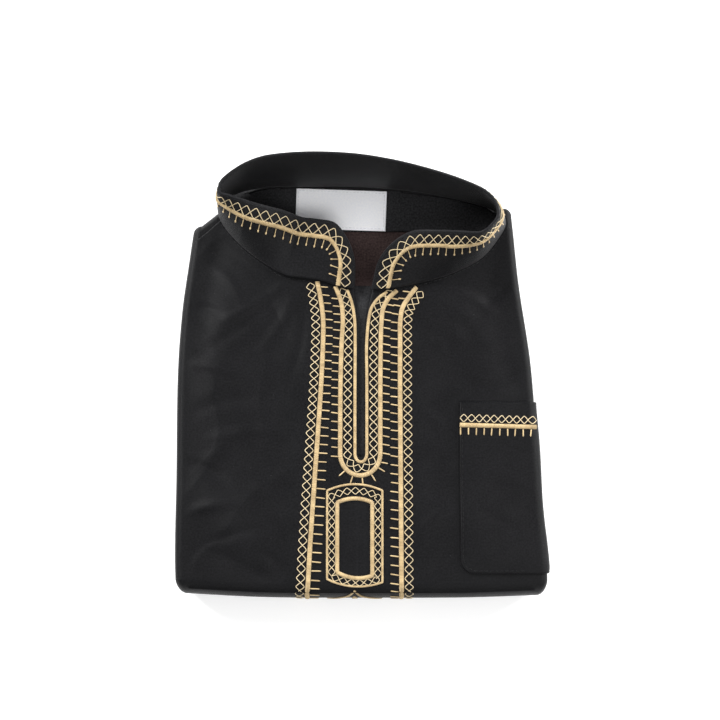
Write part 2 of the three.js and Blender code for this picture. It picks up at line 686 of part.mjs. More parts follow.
// Distances along the seam, closer together at the ends and round the two sides
function collarStations() {
  const found = [];
  let at = 0;
  while (at < COLLAR_LENGTH) {
    found.push(at);
    const fromEnd = Math.min(at, COLLAR_LENGTH - at);
    const place = seamCurve.getPoint(seamShare(at));
    const atSide = Math.abs(place.x) > 72;
    at += fromEnd < COLLAR_CORNER ? Math.max(1.6, fromEnd / 4) : atSide ? 3 : 7;
  }
  if (COLLAR_LENGTH - found.at(-1) < 1) found.pop();
  found.push(COLLAR_LENGTH);
  return found;
}
const stations = collarStations();
function collarPanel() {
  const up = [0, 0.28, 0.5, 1 - TRIM_FROM_EDGE / COLLAR_HEIGHT, 1];
  const side = (lift) => up.map((share) => stations.map((at) => onCollar(at, collarTop(at) * share, lift)));
  return wallOf(side(0), side(-COLLAR_WALL));
}

// The gold line on the collar, at an even distance from its edge
function collarTrim() {
  const inset = TRIM_FROM_EDGE;
  const radius = COLLAR_CORNER - inset;
  const level = COLLAR_HEIGHT - inset;
  const path = [];
  for (const height of [2, 8, level - radius]) path.push([inset, height]);
  for (const turn of [20, 40, 60, 80]) {
    const angle = degToRad(turn);
    path.push([COLLAR_CORNER - radius * Math.cos(angle), level - radius + radius * Math.sin(angle)]);
  }
  const half = [...path];
  for (const at of stations) {
    if (at > COLLAR_CORNER + 0.5 && at < COLLAR_LENGTH - COLLAR_CORNER - 0.5) path.push([at, level]);
  }
  for (const [at, height] of half.toReversed()) path.push([COLLAR_LENGTH - at, height]);
  const place = (t, lift) => {
    const [at, height] = path[Math.round(t * (path.length - 1))];
    return onCollar(at, height, lift + 0.15);
  };
  return tubeOf(bandAlong(framesAlong(path.length, place, false), SATIN.wide, SATIN.rise), false);
}

// A satin line down the placket, through a few points of the plan
function splineOf(points) {
  return new THREE.CatmullRomCurve3(points.map(([x, y]) => new THREE.Vector3(x, y, 0)), false, "centripetal");
}
function samplesOf(points, step) {
  const curve = splineOf(points);
  return curve.getSpacedPoints(Math.max(2, Math.round(curve.getLength() / step))).map(({ x, y }) => [x, y]);
}
const LINE_STEP = 7;
function placketLine({ width, points, overFold }) {
  const path = samplesOf(points, LINE_STEP);
  const [lastX, lastY] = path.at(-1);
  const column = columnAt(lastX, lastY);
  const steps = path.map(([x, y]) => (lift) => onChest(x, y, lift));
  if (overFold) {
    const rest = [{ share: 1 }, ...bottomRows.slice(0, -2)];
    for (const row of rest) steps.push((lift) => clothPoint(column, row, lift));
  }
  const place = (t, lift) => steps[Math.round(t * (steps.length - 1))](lift);
  return tubeOf(bandAlong(framesAlong(steps.length, place, false), width, SATIN.rise), false);
}

// A satin line down one side of the slit, round below it and up the other side
function placketLoop({ width, left, right, end }) {
  const [leftX, turnY] = left.at(-1);
  const rightX = right.at(-1)[0];
  const middle = (leftX + rightX) / 2;
  const halfX = (rightX - leftX) / 2;
  const bend = [25, 50, 75, 90, 105, 130, 155].map((turn) => {
    const angle = degToRad(turn);
    return [middle - halfX * Math.cos(angle), turnY - (turnY - end) * Math.sin(angle)];
  });
  const path = [...samplesOf(left, LINE_STEP), ...bend, ...samplesOf(right, LINE_STEP).toReversed()];
  const place = (t, lift) => onChest(...path[Math.round(t * (path.length - 1))], lift);
  return tubeOf(bandAlong(framesAlong(path.length, place, false), width, SATIN.rise), false);
}

// A closed frame whose two ends bow outward
function frameLoop({ width, half, top, base, bow }) {
  const path = [];
  const across = 8;
  for (let i = 0; i <= across; i += 1) {
    const f = (2 * i) / across - 1;
    path.push([FRAME_MIDDLE + half * f, base - bow * (1 - f * f)]);
  }
  const up = 8;
  for (let i = 1; i < up; i += 1) path.push([FRAME_MIDDLE + half, lerp(base, top, i / up)]);
  for (let i = 0; i <= across; i += 1) {
    const f = 1 - (2 * i) / across;
    path.push([FRAME_MIDDLE + half * f, top + bow * (1 - f * f)]);
  }
  for (let i = 1; i < up; i += 1) path.push([FRAME_MIDDLE - half, lerp(top, base, i / up)]);
  const place = (t, lift) => onChest(...path[Math.round(t * path.length) % path.length], lift);
  return tubeOf(bandAlong(framesAlong(path.length, place, true), width, SATIN.rise), true);
}

// The peak below the frames, which runs over the bottom fold: half its width at each row of the fold
const PEAK = [
  { turn: 46, half: 1.1 },
  { turn: 38, half: 3.6 },
  { turn: 30, half: 7.4 },
  { turn: 15, half: 14 },
];
function peakLine() {
  const steps = [];
  const side = (sign) => ({ turn, half }) => (lift) => {
    const x = FRAME_MIDDLE + sign * half;
    const share = columnAt(x, bottomEdge(x) + 2).share;
    return clothPoint({ share, turn: 90 }, { share: 1, bottomTurn: turn }, lift);
  };
  steps.push(...PEAK.toReversed().map(side(-1)), ...PEAK.map(side(1)));
  const place = (t, lift) => steps[Math.round(t * (steps.length - 1))](lift);
  return tubeOf(bandAlong(framesAlong(steps.length, place, false), SATIN.fine, SATIN.rise), false);
}

// Pocket: a patch on the wearer's left chest that runs round the pack's right side
function pocketColumns() {
  const y = (POCKET.top + POCKET.base) / 2;
  const first = columnAt(POCKET.left, y);
  const flat = SHARES_ACROSS.filter((share) => share > first.share + 0.015);
  const round = ROLL_TURNS.slice(1).toReversed();
  return [first, ...flat.map((share) => ({ share, turn: 90 })), ...round.map((turn) => ({ share: 1, turn }))];
}
function pocketPoint(column, y, lift) {
  const x = lerp(leftEdge(y) + SIDE_ROLL, rightEdge(y) - SIDE_ROLL, column.share);
  return clothPoint(column, rowAt(Math.min(x, RIGHT_EDGE[3].x), y), lift);
}
function pocketPanel() {
  const across = pocketColumns();
  const count = 12;
  const rowYs = Array.from({ length: count + 1 }, (_, i) => lerp(POCKET.top, POCKET.base, i / count));
  // the patch's lower corner is cut off
  const heightAt = (i, y) => (i === 0 && y === POCKET.base ? y + POCKET.corner : y);
  const side = (lift) => rowYs.map((y) => across.map((column, i) => pocketPoint(column, heightAt(i, y), lift)));
  return wallOf(side(GAP + CLOTH), side(GAP));
}
function pocketTrim() {
  const across = pocketColumns();
  const y = POCKET.top - POCKET_TRIM_DROP;
  const place = (t, lift) => pocketPoint(across[Math.round(t * (across.length - 1))], y, GAP + CLOTH + lift);
  return tubeOf(bandAlong(framesAlong(across.length, place, false), SATIN.wide, SATIN.rise), false);
}

// How high the pieces inside the neck lie above the hidden layers
const LINING_LIFT = 0.35;
const LINING_WALL = 1;

addPiece("folded_layers", foldedLayers(), inside);
addPiece("front_panel", frontPanel(), shell);
addPiece("back_panel", backPanel(), shell);
addPiece("back_inside", layerPatch(neckPart(-1), LINING_LIFT, LINING_WALL), lining);
addPiece("neck_facing", layerPatch(neckPart(1), LINING_LIFT, LINING_WALL), facing);
addPiece("label", layerPatch(labelOutline(), LINING_LIFT + LINING_WALL + GAP, LABEL.thick), white);
addPiece("placket_underlap", layerPatch(underlapOutline(), GAP, LINING_WALL), shell);
addPiece("collar", collarPanel(), shell);
addPiece("collar_trim", collarTrim(), gold);
for (const line of PLACKET_LINES) addPiece(line.name, placketLine(line), gold);
for (const loop of PLACKET_LOOPS) addPiece(loop.name, placketLoop(loop), gold);
for (const frame of FRAMES) addPiece(frame.name, frameLoop(frame), gold);
addPiece("trim_peak", peakLine(), gold);
addPiece("pocket", pocketPanel(), shell);
addPiece("pocket_trim", pocketTrim(), gold);

shirt.position.set(-ORIGIN.x, -ORIGIN.y, 0);

export default shirt;
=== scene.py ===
# The looks of a folded qamis: black cloth, a stand collar, gold embroidery, a bare label, the folded skirt.
# Lengths are millimetres on the shirt's own axes. in_frame turns them into the frame's metres.
import math

import bpy
import numpy as np
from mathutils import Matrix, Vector


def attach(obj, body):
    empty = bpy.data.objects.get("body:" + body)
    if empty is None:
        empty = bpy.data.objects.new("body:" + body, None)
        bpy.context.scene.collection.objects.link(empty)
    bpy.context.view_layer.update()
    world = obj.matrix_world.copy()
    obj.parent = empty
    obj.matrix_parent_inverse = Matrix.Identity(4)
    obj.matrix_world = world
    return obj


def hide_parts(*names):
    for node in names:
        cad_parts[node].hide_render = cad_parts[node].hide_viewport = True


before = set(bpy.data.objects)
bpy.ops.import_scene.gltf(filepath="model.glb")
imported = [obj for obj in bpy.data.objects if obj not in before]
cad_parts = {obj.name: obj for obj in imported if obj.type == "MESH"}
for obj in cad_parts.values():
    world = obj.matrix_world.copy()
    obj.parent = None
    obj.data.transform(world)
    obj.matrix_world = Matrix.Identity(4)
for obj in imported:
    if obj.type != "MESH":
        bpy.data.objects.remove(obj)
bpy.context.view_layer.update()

# The shirt's sizes, the same as in its solids
ORIGIN = np.array([0.2, -3.5, 0.0])
STACK = 26.0
CLOTH = 1.2
LAYER_GAP = 0.45
SIDE_ROLL = 4.5
SKIRT_ROLL = 2.9
BOTTOM_ROLL = 10.0
QUARTER_ROLL = 18.1  # length of cloth round a quarter of the bottom fold
CROWN = 1.4
FLAT_LEFT = -104.0
FLAT_RIGHT = 99.0
ROLL_SWEEP = 152.0
COLLAR_HEIGHT = 36.0
COLLAR_WALL = 1.8
COLLAR_CORNER = 25.0
NECK_LEDGE = 1.8
NECK_DEPTH = 4.6
SLIT_END = -50.0

LEFT_EDGE = [
    (-134, -107.5), (-122, -111), (-60, -111), (0, -110.8), (38, -108.5), (65, -105), (93, -101), (118, -96),
]
RIGHT_EDGE = [(-134, 108), (-122, 110.5), (-76, 107), (-33, 104.5), (8, 101.5), (54, 95), (85, 92), (118, 89)]
TOP_EDGE = [
    (-104, 90), (-92, 100), (-80, 110.5), (-60, 117), (-20, 119.5), (30, 118), (66, 113.5), (80, 110),
    (92, 101),
]
BOTTOM_EDGE = [(-110, -131), (-60, -133.6), (0, -134), (60, -133.8), (110, -132)]

# The collar's seam, how far its edge reaches from it and how much it curls: x, y, over x, over y, curl
COLLAR = np.array([
    (-4.1, 51.2, 1.0, 35.1, 0), (-13.5, 52.6, 4.6, 34.6, 0), (-24, 56.0, 7.2, 34.5, 0),
    (-35, 57.7, 7.8, 34.5, 0), (-45.5, 59.3, 8.2, 34.4, 0), (-56, 65.4, 8.0, 30.8, 1),
    (-66, 72.4, 7.4, 25.4, 1), (-75, 80.6, 6.2, 19.6, 1), (-82.5, 89.5, 4.6, 12.8, 1),
    (-86, 97, 3.0, 6.6, 1), (-84, 104.2, 2.8, 6.0, 1), (-75, 110, 3.8, 8.4, 1), (-60, 113.3, 2.6, 11.2, 1),
    (-30, 114.2, 0.8, 13.2, 1), (-5, 114, 0, 12.2, 1), (20, 112.4, -0.4, 9.4, 1), (44, 109, -0.8, 6.4, 1),
    (60, 105.6, -1.6, 4.6, 1), (75, 101.4, -3.6, 2.6, 1), (83.5, 96.6, -6.0, 0.6, 1),
    (86, 90.5, -7.0, -0.4, 1), (81, 81, -6.0, 2.6, 1), (71, 69.8, -2.4, 10.0, 1), (56, 61.8, 0.8, 19.4, 0.9),
    (45, 57.8, 2.4, 24.2, 0.3), (31, 54.2, 4.6, 29.0, 0), (19.5, 51.8, 6.6, 32.6, 0),
    (5.5, 50.7, 7.6, 34.0, 0),
])

# The slit's two edges: y, x
SLIT_LEFT = [(-60, -2.6), (10, -2.6), (32, -2.8), (42, -3.4), (51, -4.4)]
SLIT_RIGHT = [(-60, 1.6), (10, 1.6), (30, 2.2), (38, 3.2), (45, 4.6), (49.5, 5.8)]

# Broad creases, as in the solids: x0, y0, x1, y1, width, rise
BROAD_CREASES = [
    (-92, 82, -103, 22, 11, -0.9), (-74, 52, -98, -22, 13, 0.9), (-58, 38, -52, -60, 15, -0.8),
    (-100, -62, -56, -118, 12, 0.9), (-98, -96, -80, -122, 9, -0.8), (82, 66, 90, 6, 11, -0.9),
    (52, 40, 88, -8, 12, 0.8), (44, 20, 47, -70, 11, -0.7), (48, -84, 100, -124, 12, 0.8),
]
# Fine creases on top of them, which fade out at both ends
FINE_CREASES = [
    (-44, 56, -88, 30, 3.2, 0.55), (-50, 50, -96, 12, 4.0, -0.5), (-40, 48, -66, 8, 3.6, 0.5),
    (-34, 44, -44, -6, 3.0, -0.4), (-92, 66, -70, 40, 3.4, 0.45), (-104, 40, -82, 34, 2.6, -0.5),
    (-106, 6, -74, -2, 3.4, 0.6), (-104, -24, -60, -14, 4.4, -0.5), (-96, -40, -40, -34, 3.2, 0.45),
    (-108, -52, -78, -66, 3.0, -0.55), (-70, -58, -44, -96, 3.8, 0.5), (-106, -84, -72, -78, 3.4, 0.6),
    (-94, -104, -58, -92, 3.0, -0.5), (-100, -116, -84, -100, 2.6, 0.5), (-62, -104, -46, -122, 3.2, -0.45),
    (46, 52, 84, 34, 3.4, 0.55), (38, 46, 74, 12, 4.0, -0.5), (34, 40, 52, 0, 3.0, 0.45),
    (90, 54, 70, 44, 2.6, -0.5), (96, 24, 66, 16, 3.2, 0.55), (94, 0, 62, -8, 3.0, -0.45),
    (34, -20, 54, -44, 3.4, 0.5), (36, -60, 56, -52, 3.0, -0.4), (34, -96, 56, -80, 3.4, 0.5),
    (40, -122, 58, -104, 3.0, -0.45), (68, -60, 100, -66, 3.4, 0.4), (66, -84, 96, -96, 3.8, -0.45),
    (72, -112, 104, -104, 3.0, 0.45),
]


def through(rows):
    """A smooth curve through a table's rows, held level past its ends."""
    keys = np.array([row[0] for row in rows], float)
    values = np.array([row[1] for row in rows], float)
    last = len(keys) - 1
    before = np.maximum(np.arange(len(keys)) - 1, 0)
    after = np.minimum(np.arange(len(keys)) + 1, last)
    slopes = (values[after] - values[before]) / (keys[after] - keys[before])

    def at(where):
        x = np.clip(where, keys[0], keys[-1])
        i = np.clip(np.searchsorted(keys, x, side="right") - 1, 0, last - 1)
        span = keys[i + 1] - keys[i]
        f = (x - keys[i]) / span
        a = (1 + 2 * f) * (1 - f) ** 2 * values[i] + f * (1 - f) ** 2 * span * slopes[i]
        b = f * f * (3 - 2 * f) * values[i + 1] + f * f * (f - 1) * span * slopes[i + 1]
        return a + b

    return at


left_edge = through(LEFT_EDGE)
right_edge = through(RIGHT_EDGE)
top_edge = through(TOP_EDGE)
bottom_edge = through(BOTTOM_EDGE)
slit_left = through(SLIT_LEFT)
slit_right = through(SLIT_RIGHT)


def smooth(x, low, high):
    t = np.clip((x - low) / (high - low), 0, 1)
    return t * t * (3 - 2 * t)


def mix(a, b, t):
    return a + (b - a) * t


def unit(vectors):
    return vectors / np.maximum(np.linalg.norm(vectors, axis=-1, keepdims=True), 1e-9)


def distances(points):
    """The length gone along a line at each of its points."""
    return np.concatenate([[0], np.cumsum(np.linalg.norm(np.diff(points, axis=0), axis=1))])


def crease(x, y, row, tapered):
    """How far a crease lifts the cloth."""
    x0, y0, x1, y1, width, rise = row
    dx, dy = x1 - x0, y1 - y0
    t = np.clip(((x - x0) * dx + (y - y0) * dy) / (dx * dx + dy * dy), 0, 1)
    bow = 2.4 * np.sin(math.pi * t) if tapered else 0
    side = ((x - x0) * -dy + (y - y0) * dx) / math.hypot(dx, dy)
    away = np.hypot(x - x0 - dx * t, y - y0 - dy * t)
    away = np.sqrt(np.maximum(away**2 - side**2, 0) + (side - bow) ** 2) / width
    fade = np.sin(math.pi * np.clip(t, 0.02, 0.98)) ** 0.8 if tapered else 1
    return rise * fade * np.exp(-away * away)


def from_edges(x, y):
    """How far a point of the plan lies from the nearer side and from the nearer end."""
    sides = np.minimum(x - left_edge(y), right_edge(y) - x)
    return sides, np.minimum(top_edge(x) - y, y - bottom_edge(x))


def relief(x, y):
    """How far the chest rises or sinks at a point of the plan."""
    sides, ends = from_edges(x, y)
    z = CROWN * smooth(sides, SIDE_ROLL, 45) * smooth(ends, BOTTOM_ROLL, 50)
    fade = smooth(sides, SIDE_ROLL, 22) * smooth(ends, BOTTOM_ROLL, 26)
    for row in BROAD_CREASES:
        z = z + fade * crease(x, y, row, False)
    return z


def wrinkles(x, y, turn, length, warp, patch):
    """Thin ridges of pressed cloth that come and go in patches."""
    along = x * math.cos(turn) + y * math.sin(turn)
    across = y * math.cos(turn) - x * math.sin(turn)
    bend = warp * np.sin(along / (2.3 * length) + patch) + 0.4 * warp * np.sin(along / length + 2 * patch)
    ridge = (1 - np.abs(np.sin((across + bend) / length))) ** 2
    here = np.sin(x / 31.0 + patch * 1.7) * np.sin(y / 27.0 + patch * 2.9)
    return ridge * smooth(here + 0.25 * np.sin(x / 13.0 - y / 17.0), 0.0, 0.8)


def fine_relief(x, y):
    """The sharper creases and wrinkles on top of the relief."""
    sides, ends = from_edges(x, y)
    fade = smooth(sides, 1, 12) * smooth(ends, 6, 16)
    z = np.zeros(np.broadcast(x, y).shape)
    for row in FINE_CREASES:
        z = z + fade * 1.35 * crease(x, y, row, True)
    beside = smooth(np.abs(x), 30, 48)
    z = z + fade * beside * 0.55 * wrinkles(x, y, 0.5, 11.0, 9.0, 0.4)
    z = z - fade * beside * 0.5 * wrinkles(x, y, -0.65, 14.0, 10.0, 2.2)
    z = z + fade * beside * 0.35 * wrinkles(x, y, 1.35, 9.0, 7.0, 4.1)
    ripple = np.sin(x / 7.3 + 1.9 * np.sin(y / 13.1)) * np.sin(y / 9.7 + 1.4 * np.sin(x / 11.9))
    return z + 0.14 * fade * ripple


def around_rolls(side_turn, top_turn, radius):
    """How far out and up from the flat cloth a point lies, round a side roll, the top roll or a corner."""
    side = (90 - side_turn) / ROLL_SWEEP
    top = (90 - top_turn) / ROLL_SWEEP
    most = np.maximum(side, top)
    angle = np.radians(90 - ROLL_SWEEP * most)
    share = np.minimum(side, top) / np.maximum(most, 1e-9)
    heading = np.radians(np.where(side >= top, 45 * share, 90 - 45 * share))
    out = radius * np.cos(angle)
    return out * np.cos(heading), out * np.sin(heading), radius * (np.sin(angle) - 1)


def chest(u, v):
    """The outer cloth at a place of the plan. Past its flat part u runs round the sides, v round the ends."""
    u, v = np.broadcast_arrays(np.asarray(u, float), np.asarray(v, float))
    low = left_edge(v) + SIDE_ROLL
    high = right_edge(v) - SIDE_ROLL
    inside = np.clip(u, low, high)
    share = np.clip((u - low) / (high - low), 0, 1)
    near_x = mix(FLAT_LEFT, FLAT_RIGHT, share)
    top = top_edge(near_x) - SIDE_ROLL
    base = bottom_edge(near_x) + BOTTOM_ROLL
    bottom_turn = 90 - np.maximum(base - v, 0) / QUARTER_ROLL * 90
    roll = mix(SIDE_ROLL, SKIRT_ROLL, (90 - bottom_turn) / 170)
    side_turn = 90 - np.degrees(np.abs(u - inside) / SIDE_ROLL)
    top_turn = 90 - np.degrees(np.maximum(v - top, 0) / SIDE_ROLL)
    across, along, up = around_rolls(side_turn, top_turn, roll)
    angle = np.radians(bottom_turn)
    y = np.clip(v, base, top) + along - (BOTTOM_ROLL + up) * np.cos(angle)
    half = STACK / 2
    flat = relief(inside, y) + fine_relief(inside, y)
    level = smooth(bottom_turn, 60, 90) * smooth(np.minimum(side_turn, top_turn), 40, 90)
    z = half + (half + up) * np.sin(angle) + flat * level
    # near the two ends the cloth's own sides are the pack's, so x follows the edge at the point's own y
    inner_low = left_edge(y) + roll
    inner_high = right_edge(y) - roll
    x = mix(inner_low, inner_high, share) + np.where(u < 0, -across, across) * (side_turn < 90)
    return np.stack([x, y, z], -1)


def outside(points, x, y):
    """How far a point of the plan lies outside a ring of points; less than 0 inside it."""
    nearest = np.full(np.broadcast(x, y).shape, 1e9)
    within = np.zeros(nearest.shape, bool)
    for a, b in zip(np.roll(points, 1, 0), points):
        edge = b - a
        t = np.clip(((x - a[0]) * edge[0] + (y - a[1]) * edge[1]) / (edge @ edge), 0, 1)
        nearest = np.minimum(nearest, np.hypot(x - a[0] - edge[0] * t, y - a[1] - edge[1] * t))
        if a[1] != b[1]:
            crossed = ((a[1] > y) != (b[1] > y)) & (x < a[0] + (y - a[1]) / (b[1] - a[1]) * (b[0] - a[0]))
            within = within ^ crossed
    return np.where(within, -nearest, nearest)


seam_loop = COLLAR[:, :2]


def neck_outline(inset):
    """The collar's seam, moved towards the middle of the neck."""
    inward = np.array([0, 86.0]) - seam_loop
    return seam_loop + inset * inward / np.linalg.norm(inward, axis=1)[:, None]


def hollow(x, y):
    """How far the hidden layers sink below the front, in the neck and under the placket."""
    away = outside(seam_loop, x, y)
    ledge = NECK_LEDGE * (1 - smooth(away, 6, 13)) + NECK_DEPTH * smooth(-away, 2, 26)
    across = 1 - smooth(np.abs(x + 0.6), 12, 19)
    along = smooth(y, -70, -60) * (1 - smooth(y, 62, 70))
    return np.maximum(ledge, 1.35 * across * along)


def layer_top(x, y):
    """The top of the hidden layers at a place of the plan."""
    z = STACK + relief(x, y) - CLOTH - LAYER_GAP - hollow(x, y)
    return np.stack([x, y, z], -1)


def catmull(points, t):
    """A centripetal curve through points, at shares t of its steps."""
    ends = [2 * points[0] - points[1], *points, 2 * points[-1] - points[-2]]
    knots = np.array(ends)
    i = np.clip((t * (len(points) - 1)).astype(int), 0, len(points) - 2)
    w = (t * (len(points) - 1) - i)[..., None]
    p0, p1, p2, p3 = (knots[i + k] for k in range(4))
    d0, d1, d2 = (
        np.maximum(np.linalg.norm(b - a, axis=-1, keepdims=True) ** 0.5, 1e-3)
        for a, b in ((p0, p1), (p1, p2), (p2, p3))
    )
    m1 = ((p1 - p0) / d0 - (p2 - p0) / (d0 + d1) + (p2 - p1) / d1) * d1
    m2 = ((p2 - p1) / d1 - (p3 - p1) / (d1 + d2) + (p3 - p2) / d2) * d1
    return p1 + m1 * w + (-3 * p1 + 3 * p2 - 2 * m1 - m2) * w**2 + (2 * p1 - 2 * p2 + m1 + m2) * w**3


seam_shares = np.linspace(0, 1, 2401)
seam_points = catmull(seam_loop, seam_shares)
seam_reach = catmull(COLLAR[:, 2:], seam_shares)
seam_lengths = distances(seam_points)
COLLAR_LENGTH = seam_lengths[-1]
seam_base = STACK + relief(seam_points[:, 0], seam_points[:, 1]) + 0.3 + COLLAR_WALL / 2 * 1.1


def leaning_strip(over, curl, share):
    """How far out and up a strip reaches. With a curl it is steep at its foot and leans over at its edge."""
    bend = np.maximum(curl * np.clip(0.983 / over - 1, 0, 0.6), 0.005)
    first = over * (1 - bend)
    growth = 2 * over * bend

    def area(slope):
        slope = np.clip(slope, -1, 1)
        return (slope * np.sqrt(1 - slope * slope) + np.arcsin(slope)) / 2

    return share + bend * (share * share - share), (area(first + growth * share) - area(first)) / growth


def collar(a, h):
    """The middle of the collar's wall at a distance along its seam and a height above it."""
    a, h = np.broadcast_arrays(np.asarray(a, float), np.asarray(h, float))

    def at(values):
        return np.interp(a, seam_lengths, values)

    over_x, over_y, curl = (at(seam_reach[:, k]) for k in range(3))
    share = h / COLLAR_HEIGHT
    out, up = leaning_strip(np.hypot(over_x, over_y) / COLLAR_HEIGHT, curl, share)
    wave = 0.35 * np.sin(a / 15.3) * share**2
    x = at(seam_points[:, 0]) + over_x * out
    y = at(seam_points[:, 1]) + over_y * out
    return np.stack([x, y, at(seam_base) + COLLAR_HEIGHT * up + wave], -1)


def placer(point, sign=1, base=0.0):
    """A function that gives the points of a surface moved out by a lift, and its normals."""

    def place(u, v, lift=0.0):
        u, v = np.asarray(u, float), np.asarray(v, float)
        step = 0.08
        n = np.cross(point(u + step, v) - point(u - step, v), point(u, v + step) - point(u, v - step))
        n = sign * unit(n)
        return point(u, v) + n * (base + np.asarray(lift, float))[..., None], n

    return place


on_chest = placer(chest)
on_collar = placer(collar, sign=-1, base=COLLAR_WALL / 2)
inside_collar = placer(collar, base=COLLAR_WALL / 2)
on_pocket = placer(chest, base=0.3 + CLOTH)


def in_frame(points):
    return (points - ORIGIN) / 1000


# Materials
def adjust(made, **settings):
    """Sets a node's sockets and properties. A socket that is given another node's output is linked to it."""
    for key, value in settings.items():
        name = key.replace("_", " ")
        if name not in made.inputs:
            setattr(made, key, value)
        elif isinstance(value, bpy.types.NodeSocket):
            made.id_data.links.new(value, made.inputs[name])
        else:
            made.inputs[name].default_value = value


def new_material(name, colour, roughness, **settings):
    material = bpy.data.materials.new(name)
    material.use_nodes = True
    shader = material.node_tree.nodes["Principled BSDF"]
    adjust(shader, Base_Color=(*colour, 1), Roughness=roughness, **settings)
    return material, material.node_tree, shader


def node(tree, kind, output, **settings):
    """A new shader node's output."""
    made = tree.nodes.new("ShaderNode" + kind)
    adjust(made, **settings)
    return made.outputs[output]


def maths(tree, operation, *values):
    """The output of a Math node. Each value is a number or another node's output."""
    made = tree.nodes.new("ShaderNodeMath")
    made.operation = operation
    for socket, value in zip(made.inputs, values):
        if isinstance(value, bpy.types.NodeSocket):
            tree.links.new(value, socket)
        else:
            socket.default_value = value
    return made.outputs["Value"]


def woven(name, colour, light, roughness, sheen, yarn=0.62, slant=1.1, depth=0.00012):
    """Twill cloth: slanting ribs, uneven yarn, soft cloudy tone, paler edges and folds, and a few pale specks
    of lint.
    """
    material, tree, shader = new_material(
        name, colour, roughness, Sheen_Weight=sheen, Sheen_Roughness=0.45, Specular_IOR_Level=0.12,
    )
    place = node(tree, "UVMap", "UV", uv_map="cloth")
    turned = node(tree, "Mapping", "Vector", Vector=place, Rotation=(0, 0, slant))
    wave = {"Scale": 0.314 / yarn, "Distortion": 0.6, "Detail": 1, "Detail_Scale": 3}
    ribs = node(tree, "TexWave", "Fac", Vector=turned, **wave)
    picks = node(tree, "TexWave", "Fac", Vector=place, Scale=0.314 / (yarn * 0.55), bands_direction="Y")
    grain = node(tree, "TexNoise", "Fac", Vector=place, Scale=0.9, Detail=4)
    height = maths(tree, "ADD", maths(tree, "MULTIPLY", ribs, picks), grain)
    bump = node(tree, "Bump", "Normal", Height=height, Strength=0.55, Distance=depth)
    cloud = node(tree, "TexNoise", "Fac", Vector=place, Scale=0.035, Detail=5, Roughness=0.6)
    lint = node(tree, "TexNoise", "Fac", Vector=place, Scale=0.75, Detail=2)
    specks = node(tree, "ValToRGB", "Color", Fac=lint)
    dark, pale = specks.node.color_ramp.elements
    dark.position = 0.74
    pale.position = 0.8
    pale.color = (0.25, 0.25, 0.25, 1)
    # the cloth is made paler where a piece gives its edges and folds a value for it
    edge_paling = node(tree, "Attribute", "Fac", attribute_name="pale_edges")
    flecks = node(
        tree, "MapRange", "Result", Value=grain, From_Min=0.3, From_Max=0.7, To_Min=-0.5, To_Max=0.5,
    )
    amount = maths(tree, "ADD", maths(tree, "MULTIPLY_ADD", edge_paling, 0.8, cloud), flecks)
    tint = node(tree, "Mix", "Result", data_type="RGBA", Factor=amount, A=(*colour, 1), B=(*light, 1))
    shade = node(tree, "Mix", "Result", data_type="RGBA", blend_type="ADD", Factor=0.12, A=tint, B=specks)
    gloss = node(tree, "MapRange", "Result", Value=cloud, To_Min=roughness - 0.08, To_Max=roughness + 0.1)
    adjust(shader, Base_Color=shade, Roughness=gloss, Normal=bump)
    return material


def thread(name, dark, light, roughness, shine=0.5):
    """Twisted embroidery thread, a little uneven in colour from stitch to stitch."""
    material, tree, shader = new_material(
        name, light, roughness, Sheen_Weight=shine / 2, Specular_IOR_Level=shine,
    )
    place = node(tree, "TexCoord", "Object")
    uneven = node(tree, "TexNoise", "Fac", Vector=place, Scale=420, Detail=3)
    stitch = node(tree, "Attribute", "Fac", attribute_name="shade")
    amount = maths(tree, "MULTIPLY_ADD", stitch, 0.55, maths(tree, "MULTIPLY", uneven, 0.75))
    tint = node(tree, "Mix", "Result", data_type="RGBA", Factor=amount, A=(*dark, 1), B=(*light, 1))
    fibre = node(tree, "TexNoise", "Fac", Vector=place, Scale=3800, Detail=2)
    bump = node(tree, "Bump", "Normal", Height=fibre, Strength=0.35, Distance=0.00006)
    adjust(shader, Base_Color=tint, Normal=bump)
    return material


BLACK = woven("black_twill", (0.0014, 0.0014, 0.0019), (0.0068, 0.0068, 0.0077), 0.42, 0.008)
# the collar's cloth is the chest's black twill painted lighter, a painted highlight on the collar's face,
# with its ribs at another slant
COLLAR_LIT_BLACK = woven("collar_twill_lit", (0.0024, 0.0024, 0.003), (0.0115, 0.0115, 0.0128), 0.5, 0.05, slant=0.5)
FACING = woven("facing_cloth", (0.009, 0.009, 0.01), (0.03, 0.03, 0.032), 0.7, 0.08, 0.5, 0.0)
MAROON = woven("inside_cloth", (0.02, 0.0115, 0.011), (0.052, 0.033, 0.031), 0.72, 0.08, 0.5, 0.0)
WHITE = woven("label_weave", (0.90, 0.91, 0.95), (0.97, 0.97, 0.98), 0.5, 0.15, 0.34, 0.0, 0.00006)
GOLD = thread("gold_satin", (0.26, 0.168, 0.068), (0.60, 0.45, 0.232), 0.42)
PALE_GOLD = thread("gold_outline", (0.40, 0.30, 0.155), (0.68, 0.55, 0.33), 0.45)
BLACK_THREAD = thread("black_sewing", (0.003, 0.003, 0.0035), (0.008, 0.008, 0.009), 0.6, shine=0.15)
WHITE_THREAD = thread("white_sewing", (0.55, 0.56, 0.6), (0.85, 0.86, 0.88), 0.5)


# Meshes
def new_object(name, data):
    made = bpy.data.objects.new(name, data)
    bpy.context.collection.objects.link(made)
    return made


